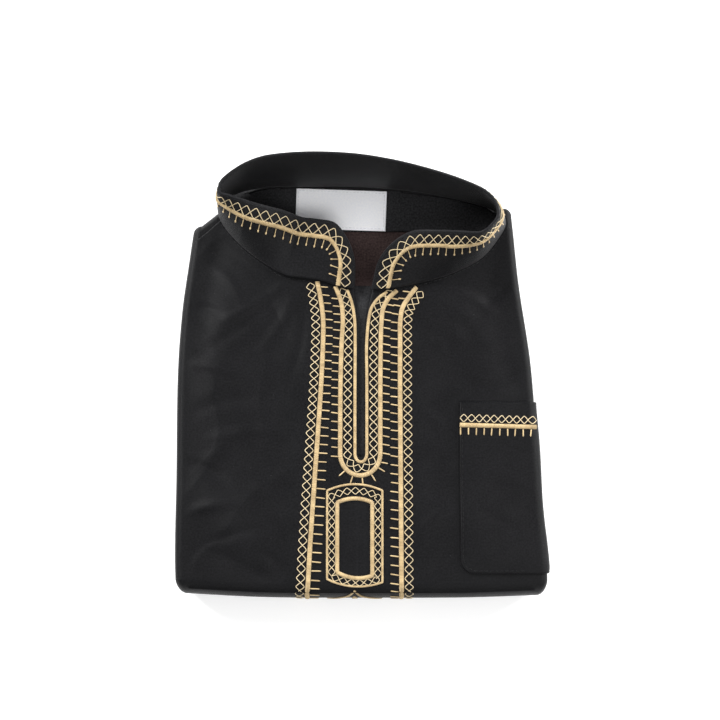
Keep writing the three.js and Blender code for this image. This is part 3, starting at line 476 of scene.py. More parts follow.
def add_mesh(name, points, faces, material, uv=None, values=None):
    """A smooth mesh in the frame that rides on the root, with its cloth coordinates and one value a point."""
    mesh = bpy.data.meshes.new(name)
    mesh.from_pydata(in_frame(points).tolist(), [], faces.tolist())
    mesh.polygons.foreach_set("use_smooth", np.ones(len(mesh.polygons), bool))
    corners = np.empty(len(mesh.loops), np.int32)
    mesh.loops.foreach_get("vertex_index", corners)
    if uv is not None:
        layer = mesh.uv_layers.new(name="cloth")
        layer.data.foreach_set("uv", uv[corners].astype(np.float32).ravel())
    for key, data in (values or {}).items():
        mesh.attributes.new(key, "FLOAT", "POINT").data.foreach_set("value", data.astype(np.float32))
    mesh.materials.append(material)
    made = new_object(name, mesh)
    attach(made, "root")
    return made


def grid_mesh(name, points, uv, material, keep=None, pale_edges=None, around=False, edge=0.0):
    """A grid of points as a sheet. Rows run down and columns to the right."""
    high, wide = points.shape[:2]
    i, j = np.meshgrid(np.arange(high - 1), np.arange(wide if around else wide - 1), indexing="ij")
    after = (j + 1) % wide
    faces = np.stack([i * wide + j, (i + 1) * wide + j, (i + 1) * wide + after, i * wide + after], -1)
    faces = faces.reshape(-1, 4) if keep is None else faces[keep]
    used = np.unique(faces)
    number = np.zeros(high * wide, int)
    number[used] = np.arange(len(used))
    edge_paling = np.zeros((high, wide)) if pale_edges is None else pale_edges
    made = add_mesh(
        name, points.reshape(-1, 3)[used], number[faces], material,
        uv.reshape(-1, 2)[used], {"pale_edges": edge_paling.reshape(-1)[used]},
    )
    if edge:
        rim = made.modifiers.new("edge", "SOLIDIFY")
        rim.thickness = edge / 1000
        rim.offset = -1
        rim.use_rim_only = True
    return made


def lengths_along(points):
    """How wide and how long a grid is at the most, along its rows and columns, in metres."""
    down = np.linalg.norm(np.diff(points, axis=0), axis=2).sum(0)
    across = np.linalg.norm(np.diff(points, axis=1), axis=2).sum(1)
    return float(across.max()) / 1000, float(down.max()) / 1000


def area_of(made):
    made.data.update()
    return sum(p.area for p in made.data.polygons)


def declare(made, points):
    """Works out a sheet of cloth's flat size along its grid and its area; nothing uses them."""
    width, length = lengths_along(points)
    area = min(area_of(made), width * length)


def middles(grid):
    """The values at the middles of a grid's cells."""
    return (grid[:-1, :-1] + grid[1:, 1:]) / 2


# The front: from the shoulder seam over the chest and round the bottom fold
SHOULDER = 22  # the shoulder seam lies a 22nd of the flat length below the top edge
roll_arcs = np.linspace(0, math.pi * SIDE_ROLL, 19)[1:]
SLIT_COLUMNS = 5
LEFT_COLUMNS = 112
RIGHT_COLUMNS = 114


def front_columns(v):
    """The columns' places across the cloth at each v, lined up with the slit's edges."""
    low, high = left_edge(v) + SIDE_ROLL, right_edge(v) - SIDE_ROLL
    a, b = slit_left(v), slit_right(v)
    parts = [
        low - roll_arcs[::-1],
        mix(low, a, np.linspace(0, 1, LEFT_COLUMNS)),
        mix(a, b, np.linspace(0, 1, SLIT_COLUMNS + 1))[1:-1],
        mix(b, high, np.linspace(0, 1, RIGHT_COLUMNS)),
        high + roll_arcs,
    ]
    return np.concatenate(parts)


def flat_ends(columns, left, width):
    """Where the flat cloth ends at the top and at the bottom fold, for columns that start at left."""
    near = mix(FLAT_LEFT, FLAT_RIGHT, np.clip((columns - left) / width, 0, 1))
    return top_edge(near) - SIDE_ROLL, bottom_edge(near) + BOTTOM_ROLL


def front_grid():
    """The places of the front's grid, from the shoulder seam to the end of the bottom fold."""
    share = np.linspace(1 / SHOULDER, 1, 210)
    columns = np.array([front_columns(v) for v in mix(115.0, -124.0, share)])
    top, base = flat_ends(columns, -106, 206)
    round_v = base[-1] - np.linspace(0, 34.4, 30)[1:, None]
    u = np.concatenate([columns, np.repeat(columns[-1:], len(round_v), 0)])
    return u, np.concatenate([mix(top, base, share[:, None]), round_v])


u, v = front_grid()
front = chest(u, v)
middle_u, middle_v = middles(u), middles(v)
in_neck = outside(neck_outline(2), middle_u, middle_v) < 0
slit_cell = np.arange(middle_u.shape[1]) - (len(roll_arcs) + LEFT_COLUMNS - 1)
in_slit = (slit_cell >= 0) & (slit_cell < SLIT_COLUMNS) & (middle_v > SLIT_END) & (middle_v < 53)
away = np.minimum(np.abs(u - slit_left(v)), np.abs(u - slit_right(v)))
front[..., 2] -= 0.7 * np.exp(-((away / 0.8) ** 2)) * smooth(v, SLIT_END - 1, SLIT_END + 4)
# the front's cloth is made paler along the slit's edges and round the bottom fold
turned = smooth(np.abs(np.minimum(v + 124, 0)), 1, 12) * 0.5
front_piece = grid_mesh(
    "front", front, np.stack([u, v], -1), BLACK, keep=~(in_neck | in_slit),
    pale_edges=0.25 * np.exp(-((away / 1.5) ** 2)) + 0.3 * turned, edge=1.0,
)
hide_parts("front_panel")
declare(front_piece, front)

# The back: behind the collar and over both shoulders, rolled over the pack's top edge
back_v = np.concatenate([np.linspace(13.6, 0, 16), -np.linspace(0.9, 10.2, 11)])[:, None]
columns = front_columns(112.0)
top, base = flat_ends(columns, -101.6, 190)
reach = (top - base) / SHOULDER - 0.3
v = top + np.where(back_v > 0, back_v, back_v * reach / 10.2)
u = np.array([front_columns(value) for value in np.clip(v.mean(1), 80, 118)])
back = chest(u, v)
in_neck = outside(neck_outline(2), middles(u), middles(v)) < 0
back_piece = grid_mesh("back", back, np.stack([u, v], -1), BLACK, keep=~in_neck, edge=1.0)
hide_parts("back_panel")
declare(back_piece, back)


# Inside the neck: the back's maroon inside, the facing and the label
def neck_cloth(name, low, high, material, node_name, lift):
    """A strip of cloth across the neck, between two heights of the plan."""
    gx, gy = np.meshgrid(np.arange(-90, 90.1, 1.0), np.arange(high, low - 0.01, -1.0))
    points = layer_top(gx, gy)
    points[..., 2] += lift + 0.1 * np.sin(gx / 6.1 + gy / 9.0)
    keep = outside(neck_outline(-1), middles(gx), middles(gy)) < 0
    made = grid_mesh(name, points, np.stack([gx, gy], -1), material, keep=keep, edge=0.9)
    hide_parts(node_name)
    width, length = 0.172, (high - low) / 1000
    area = float(np.clip(area_of(made), 0.3 * width * length, width * length))


neck_cloth("back_lining", 46.0, 88.0, MAROON, "back_inside", 1.2)
neck_cloth("facing", 87.0, 116.0, FACING, "neck_facing", 1.9)

# The label: a woven patch with folded edges, stitched down all round
LABEL = {"x": -12.6, "y": 99.9, "width": 55.0, "height": 24.0, "turn": math.radians(-2)}


def on_label(across, up):
    """A place of the plan on the label's own axes, and the cloth there."""
    x = LABEL["x"] + across * math.cos(LABEL["turn"]) - up * math.sin(LABEL["turn"])
    y = LABEL["y"] + across * math.sin(LABEL["turn"]) + up * math.cos(LABEL["turn"])
    points = layer_top(x, y)
    edge = np.maximum(np.abs(across) / (LABEL["width"] / 2), np.abs(up) / (LABEL["height"] / 2))
    puff = 0.35 * np.sin(across / 6.5 + 0.6) * np.sin(up / 5.2 + 1.1)
    points[..., 2] += 2.35 + 0.35 * smooth(edge, 0.85, 1.0) + puff * (1 - smooth(edge, 0.8, 1.0))
    return points


def from_middle(size, count):
    """Places from one edge of the label to the other, closer together at both."""
    near = np.array([0, 0.15, 0.5, 1.2])
    return np.concatenate([near, np.linspace(2, size - 2, count), size - near[::-1]]) - size / 2


def label_piece():
    gx, gy = np.meshgrid(from_middle(LABEL["width"], 52), -from_middle(LABEL["height"], 24))
    points = on_label(gx, gy)
    rim = np.minimum(LABEL["width"] / 2 - np.abs(gx), LABEL["height"] / 2 - np.abs(gy))
    round_edge = np.clip(rim / 0.5, 0, 1)
    points[..., 2] -= 0.5 * (1 - np.sqrt(round_edge * (2 - round_edge)))
    made = grid_mesh("label_patch", points, np.stack([gx, gy], -1), WHITE, edge=0.5)
    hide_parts("label")


label_piece()


# Threads: many strands in one mesh
def strands(name, paths, ups, width, height, material, sides=5, shade=None):
    """Round threads along paths with equal numbers of points, narrower at both ends."""
    paths, ups = np.asarray(paths), np.asarray(ups)
    count, steps = paths.shape[:2]
    along = unit(np.gradient(paths, axis=1))
    side = unit(np.cross(along, ups))
    up = np.cross(side, along)
    pinch = np.ones(steps)
    pinch[[0, -1]] = 0.35
    turn = np.linspace(0, 2 * math.pi, sides, endpoint=False)
    ring = side[:, :, None] * (np.cos(turn) * width)[:, None]
    ring = (ring + up[:, :, None] * (np.sin(turn) * height)[:, None]) * pinch[:, None, None]
    points = (paths[:, :, None] + ring).reshape(-1, 3)
    strand, step, k = np.meshgrid(np.arange(count), np.arange(steps - 1), np.arange(sides), indexing="ij")
    first = (strand * steps + step) * sides
    after = (k + 1) % sides
    faces = np.stack([first + k, first + after, first + sides + after, first + sides + k], -1).reshape(-1, 4)
    tone = np.random.default_rng(len(name)).random(count) if shade is None else shade
    values = np.repeat(tone, steps * sides)
    return add_mesh(name, points, faces, material, values={"shade": values})


class Line:
    """A line on a surface's own plan, with its points and headings at even steps."""

    def __init__(self, points, step=0.5, closed=False):
        points = np.asarray(points, float)
        if closed:
            points = np.concatenate([points, points[:1]])
        gone = distances(points)
        self.length = gone[-1]
        count = max(int(round(self.length / step)), 2)
        self.fine = np.linspace(0, self.length, count * 4 + 1)
        self.where = np.stack([np.interp(self.fine, gone, points[:, k]) for k in (0, 1)], -1)
        if closed:
            around = np.concatenate([self.where[-9:-1], self.where, self.where[1:9]])
            heading = np.gradient(around, axis=0)[8:-8]
        else:
            heading = np.gradient(self.where, axis=0)
        kernel = np.ones(7) / 7
        padded = np.pad(heading, ((3, 3), (0, 0)), mode="wrap" if closed else "edge")
        heading = np.stack([np.convolve(padded[:, k], kernel, "valid") for k in (0, 1)], -1)
        self.heading = unit(heading)

    def at(self, s, offset=0.0):
        """The place at a length along the line, and an offset to its left."""
        s = np.clip(s, 0, self.length)
        x, y = (np.interp(s, self.fine, self.where[:, k]) for k in (0, 1))
        dx, dy = (np.interp(s, self.fine, self.heading[:, k]) for k in (0, 1))
        size = np.hypot(dx, dy)
        return x - dy / size * offset, y + dx / size * offset


GROWTH = (-18, 120)  # between these distances below y = 0, the steps and the ticks of a row grow


def beats(line, near, far):
    """How many steps fit up to each length of a line, when they grow from the slit to the bottom fold."""
    size = mix(near, far, smooth(-line.where[:, 1], *GROWTH))
    return np.concatenate([[0], np.cumsum(line.fine[1] / ((size[1:] + size[:-1]) / 2))])


def satin(name, place, line, width, rise, pitch=0.42, slant=0.35, ragged=0.0, node_name=None):
    """Satin stitching: threads laid side by side over a padded line."""
    rng = np.random.default_rng(int(line.length * 7))
    count = int(line.length / pitch)
    one_each = (count, 1)
    s = (np.arange(count)[:, None] + 0.5) * pitch + rng.normal(0, 0.03, one_each)
    t = np.linspace(-0.5, 0.5, 7)
    dome = np.sqrt(np.clip(1 - (2 * t) ** 2, 0, 1))
    grow = width + ragged * rng.random(one_each)
    shift = -ragged * 0.5 * rng.random(one_each)
    x, y = line.at(s + slant * t + rng.normal(0, 0.05, one_each) * t, t * grow + shift)
    points, normals = place(x, y, 0.05 + rise * dome * rng.uniform(0.92, 1.04, one_each))
    tone = 0.5 * rng.random(one_each) + 0.25 + 0.25 * np.sin(s / 2.3 + 1.7 * np.sin(s / 7.1))
    made = strands(name, points, normals, pitch * 0.6, 0.16, GOLD, sides=4, shade=tone)
    if node_name:
        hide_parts(node_name)
    s = np.linspace(0, line.length, int(line.length / 1.2) + 2)[:, None] + 0 * t
    x, y = line.at(s, t * (width - 0.2) + 0 * s)
    points = place(x, y, -0.1 + (rise - 0.02) * dome + 0 * s)[0]
    grid_mesh(name + "_padding", points, np.stack([x, y], -1), GOLD)


def chain(name, place, line, half, near, far=None, radius=0.23, offset=0.0):
    """Two threads that cross again and again to make a row of diamonds, near and far long at its two ends."""
    gone = beats(line, near, far or near)
    repeats = max(int(round(gone[-1])), 1)
    phase = np.linspace(0, repeats * math.pi, repeats * 12 + 1)
    s = np.interp(phase / math.pi * gone[-1] / repeats, gone, line.fine)
    wave = np.arcsin(0.95 * np.sin(phase)) / math.asin(0.95)
    paths, ups = [], []
    for sign in (1, -1):
        x, y = line.at(s, offset + sign * half * wave)
        points, normals = place(x, y, 0.26 + 0.14 * sign * np.cos(phase))
        paths.append(points)
        ups.append(normals)
    strands(name, paths, ups, radius, radius * 0.85, PALE_GOLD, sides=6)


def ladder(line, anchor, low, high, near, far=None):
    """Lengths along a line at even steps from an anchor, between two ends."""
    gone = beats(line, near, far or near)
    first, low, high = np.interp([anchor, low, high], line.fine, gone)
    steps = first + np.arange(math.ceil(low - first), math.floor(high - first) + 1)
    return np.interp(steps, gone, line.fine)


def ticks(name, place, line, s, first, reach, knots=False, width=0.4, heading=None):
    """Short wrapped bars that stand off a line at given lengths: straight across it, or along a heading."""
    rng = np.random.default_rng(len(s) * 11 + len(name))
    t = np.linspace(0, 1, 9)
    reach = reach + rng.normal(0, 0.16, len(s))
    turned = rng.normal(0, 0.12, len(s))

    def along(share):
        """Places of the plan at shares of each bar's length."""
        if heading is None:
            return line.at(s[:, None] + turned[:, None] * share, first + reach[:, None] * share)
        x, y = line.at(s[:, None] + 0 * share, first + 0 * share)
        size = math.hypot(*heading)
        x = x + np.abs(reach[:, None]) * share * heading[0] / size
        return x, y + (np.abs(reach[:, None]) * heading[1] / size + turned[:, None]) * share

    x, y = along(np.broadcast_to(t, (len(s), len(t))))
    points, normals = place(x, y, 0.26 + 0 * x)
    strands(name, points, normals, width, width * 0.8, GOLD, sides=6)
    if knots:
        tip = 1 + np.array([-1.3, -1.0, -0.5, 0.0, 0.3]) / np.abs(reach[:, None])
        x, y = along(tip)
        points, normals = place(x, y, 0.32 + 0 * x)
        strands(name + "_knots", points, normals, 0.5, 0.42, GOLD, sides=7)


def stitches(name, place, line, s, material, length=2.3, radius=0.17, offset=0.0):
    """Running stitches of sewing thread, sunk into the cloth at both ends."""
    t = np.linspace(-0.5, 0.5, 6)
    x, y = line.at(s[:, None] + t * length, offset)
    points, normals = place(x, y, 0.16 - 0.26 * (2 * t) ** 4 + 0 * x)
    strands(name, points, normals, radius, radius * 0.8, material)


# The collar: a wall with a rounded edge, closed at its two front ends
def collar_top(a):
    """The height of the collar's edge, which is rounded at its two front corners."""
    from_end = np.minimum(a, COLLAR_LENGTH - a)
    gone = np.clip(COLLAR_CORNER - from_end, 0, COLLAR_CORNER)
    return COLLAR_HEIGHT - COLLAR_CORNER + np.sqrt(np.maximum(COLLAR_CORNER**2 - gone**2, 0))


def collar_piece():
    radius = COLLAR_WALL / 2
    rounded = radius * (1 - np.cos(np.linspace(0, math.pi / 2, 6)))
    near = np.concatenate([rounded, np.linspace(1.3, 20, 34)])
    a = np.concatenate([near, np.linspace(20.8, COLLAR_LENGTH - 20.8, 400), COLLAR_LENGTH - near[::-1]])
    from_end = np.minimum(a, COLLAR_LENGTH - a)
    end_round = radius * np.sqrt(np.clip(1 - (1 - from_end / radius) ** 2, 0.002, 1))
    thick = np.where(from_end < radius, end_round, radius)
    # rows go up the outer face, over the edge and down the inner face
    turn = np.radians(np.linspace(0, 180, 9)[1:-1])
    share = np.concatenate([np.linspace(0, 1, 28), np.ones(len(turn)), np.linspace(1, 0, 20)])[:, None]
    bulge = np.concatenate([np.zeros(28), radius * np.sin(turn), np.zeros(20)])[:, None]
    side = np.concatenate([np.ones(28), np.cos(turn), -np.ones(20)])[:, None]
    h = mix(-0.25, collar_top(a) - radius, share) + bulge
    across = np.broadcast_to(a, h.shape)
    stitch = collar_top(a) - h
    groove = 0.12 * np.exp(-(((stitch - 1.6) / 0.35) ** 2)) * (np.abs(side) > 0.9)
    push = side * thick - np.sign(side) * groove
    points = collar(across, h) + on_collar(across, h)[1] * push[..., None]
    uv = np.stack([across, h + (side < 0) * 40], -1)
    # the collar's cloth is made paler along its top edge
    edge_paling = 0.35 * np.exp(-((stitch / 1.2) ** 2))
    made = grid_mesh(
        "collar_band", points.transpose(1, 0, 2), uv.transpose(1, 0, 2), COLLAR_LIT_BLACK,
        pale_edges=edge_paling.T, around=True,
    )
    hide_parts("collar")


collar_piece()


def collar_path(inset):
    """The line at an even distance from the collar's edge, from its left foot round to its right foot."""
    radius = COLLAR_CORNER - inset
    level = COLLAR_HEIGHT - COLLAR_CORNER
    turn = np.radians(np.linspace(0, 90, 24))
    corner = np.stack([COLLAR_CORNER - radius * np.cos(turn), level + radius * np.sin(turn)], -1)
    far = corner[::-1] * [-1, 1] + [COLLAR_LENGTH, 0]
    straight = np.linspace(COLLAR_CORNER, COLLAR_LENGTH - COLLAR_CORNER, 200)[1:-1]
    top = np.stack([straight, np.full_like(straight, COLLAR_HEIGHT - inset)], -1)
    return Line(np.concatenate([[[inset, 0.1]], corner, top, far, [[COLLAR_LENGTH - inset, 0.1]]]))


STITCH_STEP = 3.1
satin("collar_satin", on_collar, collar_path(10.2), 2.5, 0.75, ragged=0.5, node_name="collar_trim")
chain("collar_diamonds", on_collar, collar_path(6.1), 3.1, 6.3)
tick_line = collar_path(11.4)
steps = ladder(tick_line, 0, 2, tick_line.length - 2, 5.2)
ticks("collar_ticks", on_collar, tick_line, steps, 0.0, -5.4, knots=True, width=0.25)
edge_line = collar_path(1.6)
edge_steps = ladder(edge_line, 0, 2, edge_line.length - 2, STITCH_STEP)
stitches("collar_edge_stitching", on_collar, edge_line, edge_steps, BLACK_THREAD)
stitches("collar_inner_stitching", inside_collar, edge_line, edge_steps + 1.5, BLACK_THREAD)

# The placket: lines from the collar down, in the plan's own places
OUTER_LEFT = [
    (-26.8, 55.5), (-24.6, 44), (-23.2, 32), (-23.3, 17.7), (-24.2, -4), (-31.7, -121), (-32.6, -152),
]
OUTER_RIGHT = [
    (32.9, 52), (28.3, 45.9), (24.4, 39.3), (23.1, 31), (23, 17.7), (22.9, -4), (23.5, -121), (23.6, -152),
]
MIDDLE_LEFT = [(-15.9, 52.3), (-12.4, 43), (-11.4, 32), (-12.1, 17.7), (-12.7, -4), (-12.9, -48)]
MIDDLE_RIGHT = [(21.2, 50), (16.2, 45.4), (12.9, 39.3), (11.8, 31), (11.3, 17.7), (11.1, -4), (11, -48)]
INNER_LEFT = [(-8.8, 50.4), (-6, 42.6), (-4.3, 32), (-4.0, 17.7), (-4.1, -4), (-4.1, -48)]
INNER_RIGHT = [(15.3, 49.2), (9.9, 45.2), (5.8, 39.4), (4, 31), (2.9, 17.7), (3, -4), (3, -48)]

# From one diamond or tick to the next, beside the slit and at the bottom fold, and where a tick is known
ROW = (4.93, 5.5)
TICK_Y = 17.7


def spline(points):
    return catmull(np.array(points, float), np.linspace(0, 1, 40 * len(points)))


def loop(left, right, end):
    """A line down one side of the slit, round below it and up the other side."""
    (left_x, turn_y), right_x = left[-1], right[-1][0]
    middle, half = (left_x + right_x) / 2, (right_x - left_x) / 2
    turn = np.radians(np.linspace(0, 180, 25)[1:-1])
    bend = np.stack([middle - half * np.cos(turn), turn_y - (turn_y - end) * np.sin(turn)], -1)
    return np.concatenate([spline(left), bend, spline(right)[::-1]])


outer_left, outer_right = Line(spline(OUTER_LEFT)), Line(spline(OUTER_RIGHT))
middle_line = Line(loop(MIDDLE_LEFT, MIDDLE_RIGHT, -61))
inner_line = Line(loop(INNER_LEFT, INNER_RIGHT, -53))


def halfway(a, b):
    return [((p[0] + q[0]) / 2, (p[1] + q[1]) / 2) for p, q in zip(a, b)]


between = Line(loop(halfway(MIDDLE_LEFT, INNER_LEFT), halfway(MIDDLE_RIGHT, INNER_RIGHT), -57))
for name, line, width, rise in (
    ("outer_left", outer_left, 2.9, 0.75), ("outer_right", outer_right, 2.9, 0.75),
    ("middle", middle_line, 2.8, 0.75), ("inner", inner_line, 1.9, 0.6),
):
    satin("satin_" + name, on_chest, line, width, rise, node_name="trim_" + name)
chain("diamonds_outer_left", on_chest, outer_left, 2.45, *ROW, offset=-4.5)
chain("diamonds_outer_right", on_chest, outer_right, 2.45, *ROW, offset=4.5)
chain("diamonds_inner", on_chest, between, 2.3, 5.2, 5.4)


def length_at(line, y, from_end=False):
    """The length along a line at which it first, or last, passes a height."""
    below = np.flatnonzero(line.where[:, 1] < y)
    return line.fine[below[-1] if from_end else below[0]]


def longer_down(line, s, near, far):
    """The length of ticks, which grows from the slit down to the bottom fold."""
    return mix(near, far, smooth(-line.at(s)[1], *GROWTH))


for name, line, later, near, far, first, heading in (
    ("ticks_outer_left", outer_left, 0, 4.6, 6.0, 1.2, (1, -0.07)),
    ("ticks_outer_right", outer_right, 2.2, 4.5, 5.4, -1.2, (-1, 0.13)),
):
    s = ladder(line, length_at(line, TICK_Y) + later, 0.5, line.length - 6, *ROW)
    ticks(name, on_chest, line, s, first, longer_down(line, s, near, far), heading=heading)
half_way = middle_line.length / 2
s = ladder(middle_line, length_at(middle_line, TICK_Y) + 1.9, 3, half_way - 13, *ROW)
ticks("ticks_middle_left", on_chest, middle_line, s, -1.2, 4.3, heading=(-1, 0.09))
anchor = length_at(middle_line, TICK_Y, from_end=True)
s = ladder(middle_line, anchor, half_way + 13, middle_line.length - 1, *ROW)
ticks("ticks_middle_right", on_chest, middle_line, s, -1.2, 4.5, heading=(1, -0.17))
s = ladder(middle_line, half_way + 1, half_way - 13, half_way + 13, 5.2)
ticks("ticks_middle_foot", on_chest, middle_line, s, -1.2, -4.5)

# The two frames and the peak at the bottom fold
FRAME_MIDDLE = -4.2


def frame_path(half, top, base, bow):
    """A frame whose two ends bow outward; its left foot sits a little higher than its right one."""
    f = np.linspace(-1, 1, 21)
    low = np.stack([FRAME_MIDDLE + half * f, base + 1 - f - bow * (1 - f * f)], -1)
    high = np.stack([FRAME_MIDDLE - half * f, top + bow * (1 - f * f)], -1)
    up = np.linspace(0, 1, 30)[1:-1, None]
    right = low[-1] + (high[0] - low[-1]) * up
    left = high[-1] + (low[0] - high[-1]) * up
    return Line(np.concatenate([low, right, high, left]), closed=True)


frame_outer = frame_path(16.4, -70, -124.1, 3.8)
frame_inner = frame_path(10.4, -77, -120.2, 2.4)
satin("satin_frame_outer", on_chest, frame_outer, 1.35, 0.5, node_name="trim_frame_outer")
satin("satin_frame_inner", on_chest, frame_inner, 2.5, 0.7, node_name="trim_frame_inner")
chain("diamonds_frame", on_chest, frame_path(13.7, -73.2, -122.4, 3.1), 1.95, 4.9, radius=0.21)
PEAK = [(-20.6, -143.6), (-16.6, -141.0), (-12.0, -138.2), (-8.0, -135.4), (-5.6, -132.4), (-4.2, -130.3)]
peak = spline(PEAK)
mirrored = peak[::-1] * [-1, 1] + [2 * FRAME_MIDDLE, 0]
satin("satin_peak", on_chest, Line(np.concatenate([peak, mirrored[1:]])), 1.3, 0.5, node_name="trim_peak")
turn = np.linspace(0, 2 * math.pi, 25)[:-1]
drop_x = FRAME_MIDDLE + 1.9 * np.sin(turn) * (0.6 - 0.4 * np.cos(turn))
drop = np.stack([drop_x, -139.2 + 2.9 * np.cos(turn)], -1)
satin("satin_drop", on_chest, Line(drop, closed=True), 0.9, 0.4)

# The pocket: a patch with a turned hem, edge stitching and its own trim, which runs round the right side
POCKET_LEFT = 58.3


def pocket_piece():
    left, top, base, corner = POCKET_LEFT, -17.0, -119.0, 8.0
    near = np.array([0, 0.1, 0.4, 0.9])
    steps = np.concatenate([near, np.linspace(1.6, 38.5, 46)])
    y = np.concatenate([top - near, np.linspace(top - 1.6, base + 1.6, 104), base + near[::-1]])
    into = np.clip(base + corner - y, 0, corner)
    start = left + corner - np.sqrt(np.maximum(corner**2 - into**2, 0))
    flat_end = right_edge(y) - SIDE_ROLL
    round_x = flat_end[:, None] + np.linspace(0, 9.5, 15)[1:]
    gx = np.concatenate([mix(start[:, None], flat_end[:, None], steps / 38.5), round_x], 1)
    gy = np.repeat(y[:, None], gx.shape[1], 1)
    rim = np.minimum(np.minimum(gx - left, top - gy), gy - base)
    in_corner = (gx < left + corner) & (gy < base + corner)
    rim = np.where(in_corner, corner - np.hypot(gx - left - corner, gy - base - corner), rim)
    shoulder = np.clip(rim / 0.9, 0, 1)
    lift = -1.1 * (1 - np.sqrt(shoulder * (2 - shoulder))) - 0.14 * np.exp(-(((rim - 1.8) / 0.4) ** 2))
    lift += 0.25 * smooth(top - gy, 0, 4) * smooth(rim, 0, 4) * np.sin(gy / 11.0 + gx / 19.0)
    points = on_pocket(gx, gy, lift)[0]
    made = grid_mesh("pocket_patch", points, np.stack([gx, gy], -1), BLACK, edge=1.1)
    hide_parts("pocket")
    declare(made, points)


pocket_piece()
pocket_line = Line([(POCKET_LEFT + 0.2, -30.9), (103.5, -32.2)])
satin("pocket_satin", on_pocket, pocket_line, 2.9, 0.75, node_name="pocket_trim")
chain("pocket_diamonds", on_pocket, pocket_line, 2.15, 4.6, offset=4.1)
steps = ladder(pocket_line, 0.5, 0.4, 43, 4.65)
ticks("pocket_ticks", on_pocket, pocket_line, steps, -1.4, -4.4)
pocket_edge = Line([(60.1, -18.8), (60.1, -109.6), (62.0, -114.9), (66.7, -117.2), (99.0, -117.2)])
steps = ladder(pocket_edge, 0, 1, pocket_edge.length - 1, STITCH_STEP)
stitches("pocket_stitching", on_pocket, pocket_edge, steps, BLACK_THREAD)


# The label's stitches, at an even distance from its edge
label_ring = Line([(-26, -10.5), (26, -10.5), (26, 10.5), (-26, 10.5)], closed=True)


def place_label(across, up, lift=0.0):
    points = on_label(np.asarray(across, float), np.asarray(up, float))
    points[..., 2] += lift
    return points, np.broadcast_to([0.0, 0.0, 1.0], points.shape)


label_steps = ladder(label_ring, 1.1, 0, label_ring.length - 1, 2.2)
stitches("label_stitching", place_label, label_ring, label_steps, WHITE_THREAD, 1.7, 0.16)


# The placket's underlap: a strip of doubled cloth that closes the slit from below
def underlap_piece():
    gx, gy = np.meshgrid(np.linspace(-10.5, 9.5, 41), np.linspace(53, -58, 112))
    points = layer_top(gx, gy)
    points[..., 2] += 1.25 + 0.12 * np.sin(gy / 6.3 + gx / 5.0)
    made = grid_mesh("underlap_strip", points, np.stack([gy, gx], -1), FACING, edge=0.9)
    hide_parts("placket_underlap")
    declare(made, points)


underlap_piece()


# The folded skirt below the chest: flattened tubes of cloth, seen at their rounded edges
def tube_ring(turns, across):
    """Shares across, how far out and how far up for the points of a flattened ring, all round."""
    angles = np.radians(np.linspace(90, -90, turns))
    flat = 0.5 - 0.5 * np.cos(np.linspace(0, math.pi, across)[1:-1])
    share = np.concatenate([flat, np.ones(turns), flat[::-1], np.zeros(turns)])
    out = np.concatenate([0 * flat, np.cos(angles), 0 * flat, -np.cos(angles)])
    up = np.concatenate([0 * flat + 1, np.sin(angles), 0 * flat - 1, -np.sin(angles)])
    return share, out, up


def folded_tube(name, path, half_height, inside, wave, phase, start=0.8, capped=False):
    """A flattened tube along a path of rows: share along, height, heading and how far from the top edge."""
    share, out, up = tube_ring(13, 60)
    near = mix(FLAT_LEFT, FLAT_RIGHT, share)
    rows = []
    for along, z, heading, end in path:
        base = bottom_edge(near) + BOTTOM_ROLL - start
        crumple = wave * np.sin(near / 23.0 + phase)
        y = mix(top_edge(near) - end + crumple, base, along) + math.cos(heading) * up * half_height
        level = z + math.sin(heading) * up * half_height
        settled = smooth(y, base + start + 0.5, base + start + 6)
        ripple = wave * (np.sin(y / 17.0 + phase * 2) + 0.4 * np.sin(y / 6.1 + phase * 5))
        inward = mix(SIDE_ROLL + 0.4, inside + ripple, settled) + half_height
        x = mix(left_edge(y) + inward, right_edge(y) - inward, share) + out * half_height
        if capped:
            level = np.where(up > 0, mix(z, layer_top(x, y)[..., 2] - 0.15, up), level)
        level = level + 0.16 * (1 - np.abs(up)) * np.sin(y / 8.0 + phase * 3)
        rows.append(np.stack([x, y, level], -1))
    points = np.array(rows)
    uv = np.stack(np.meshgrid(distances(points[0]), distances(points[:, 0])), -1)
    # the tube's cloth is made paler round its two folded edges
    made = grid_mesh(
        name, points, uv, BLACK, around=True, edge=0.9,
        pale_edges=0.3 * np.abs(np.broadcast_to(out, points.shape[:2])),
    )
    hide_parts("folded_layers")
    declare(made, np.concatenate([points, points[:, :1]], 1))


def straight(start, stop, count, z, heading, end):
    """The rows of a path that stays level."""
    return [(along, z, heading, end) for along in np.linspace(start, stop, count)]


# The skirt comes back along the floor, folds at the neck end and runs to the bottom fold again
UP = math.pi / 2  # the heading of a row whose cloth faces up
skirt_path = straight(1, 0.002, 60, 2.95, -UP, 7.9)
skirt_path += [(0.0, 5.85 + 2.9 * math.sin(a), a, 7.9 - 2.9 * math.cos(a)) for a in np.linspace(-UP, UP, 15)]
skirt_path += straight(0.002, 1, 60, 8.75, UP, 7.9)
folded_tube("skirt_fold", skirt_path, 2.78, 0.8, 0.6, 0.7)
hem_path = straight(0, 1, 60, 14.2, UP, 8.6)
folded_tube("hem_outside", hem_path, 2.45, 3.4, 0.8, 2.1, start=7.4)
hem_path = straight(0, 0.4, 30, 14.2, UP, 11.4)
folded_tube("hem_inside", hem_path, 1.15, 5.6, 0.7, 3.3)

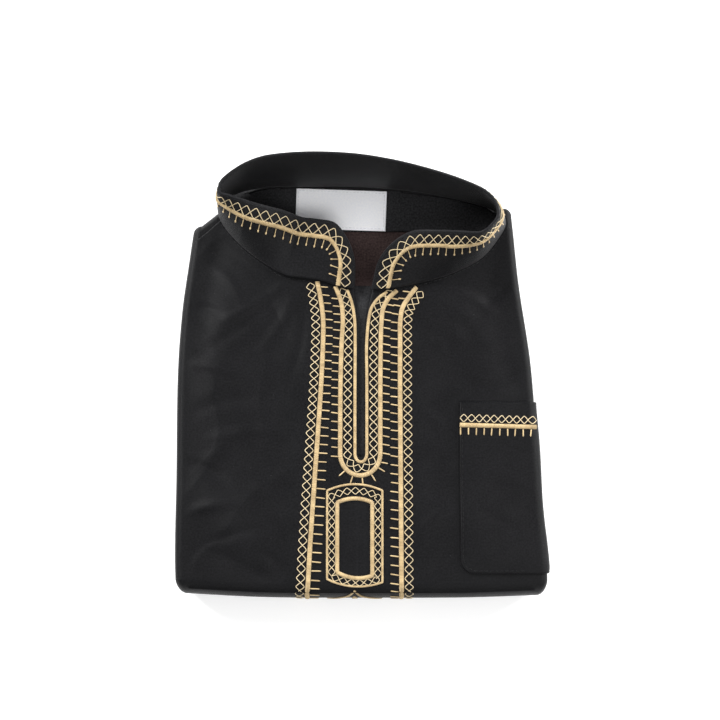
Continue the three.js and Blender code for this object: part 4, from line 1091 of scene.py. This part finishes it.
# The sides and sleeves, folded in behind the chest
sides_path = straight(0, 1, 110, 20.9, UP, 4.9)
folded_tube("folded_sides", sides_path, 2.95, 1.9, 0.0, 1.2, start=6.5, capped=True)

# A seam of black thread round the neck
neck_ring = Line(catmull(neck_outline(-2.4), np.linspace(0, 1, 600)))
neck_steps = ladder(neck_ring, 0, 8, neck_ring.length - 8, STITCH_STEP)
stitches("neck_stitching", on_chest, neck_ring, neck_steps, BLACK_THREAD)

# The camera: nearly straight above, as far as the photo's was
centre = in_frame(np.array([-1.08, 8.1, STACK]))
data = bpy.data.cameras.new("camera")
data.lens = 75
data.sensor_width = 36
camera = new_object("camera", data)
tilt = math.radians(5)
camera.location = centre + 0.9 * np.array([0, -math.sin(tilt), math.cos(tilt)])
camera.rotation_euler = (tilt, 0, 0)
data.clip_start = 0.01
bpy.context.scene.view_settings.view_transform = "Standard"
bpy.context.scene.camera = camera


# Lights and floor
def softbox(name, place, aim, size, power):
    lamp = bpy.data.lights.new(name, "AREA")
    lamp.shape = "RECTANGLE"
    lamp.size, lamp.size_y = size
    lamp.energy = power
    made = new_object(name, lamp)
    made.location = place
    made.rotation_euler = (Vector(aim) - Vector(place)).to_track_quat("-Z", "Y").to_euler()


softbox("key", (-0.95, 0.75, 0.62), (0, 0, 0.02), (0.5, 0.5), 30)
softbox("rim", (0.95, 0.5, 0.42), (0.04, 0, 0.02), (0.4, 0.4), 17)
softbox("fill", (0.45, -0.65, 1.1), (0, 0.05, 0), (0.8, 0.8), 7.5)
world = bpy.data.worlds.new("studio")
bpy.context.scene.world = world
world.use_nodes = True
adjust(world.node_tree.nodes["Background"], Color=(1, 1, 1, 1), Strength=0.5)

floor_mesh = bpy.data.meshes.new("floor")
corners = [(x, y, -0.0002) for x, y in ((-4, -4), (4, -4), (4, 4), (-4, 4))]
floor_mesh.from_pydata(corners, [], [(0, 1, 2, 3)])
floor = new_object("floor", floor_mesh)
glow = {"Emission_Color": (1, 1, 1, 1), "Emission_Strength": 0.3}
floor_mesh.materials.append(new_material("pale_floor", (0.9, 0.9, 0.9), 0.6, **glow)[0])
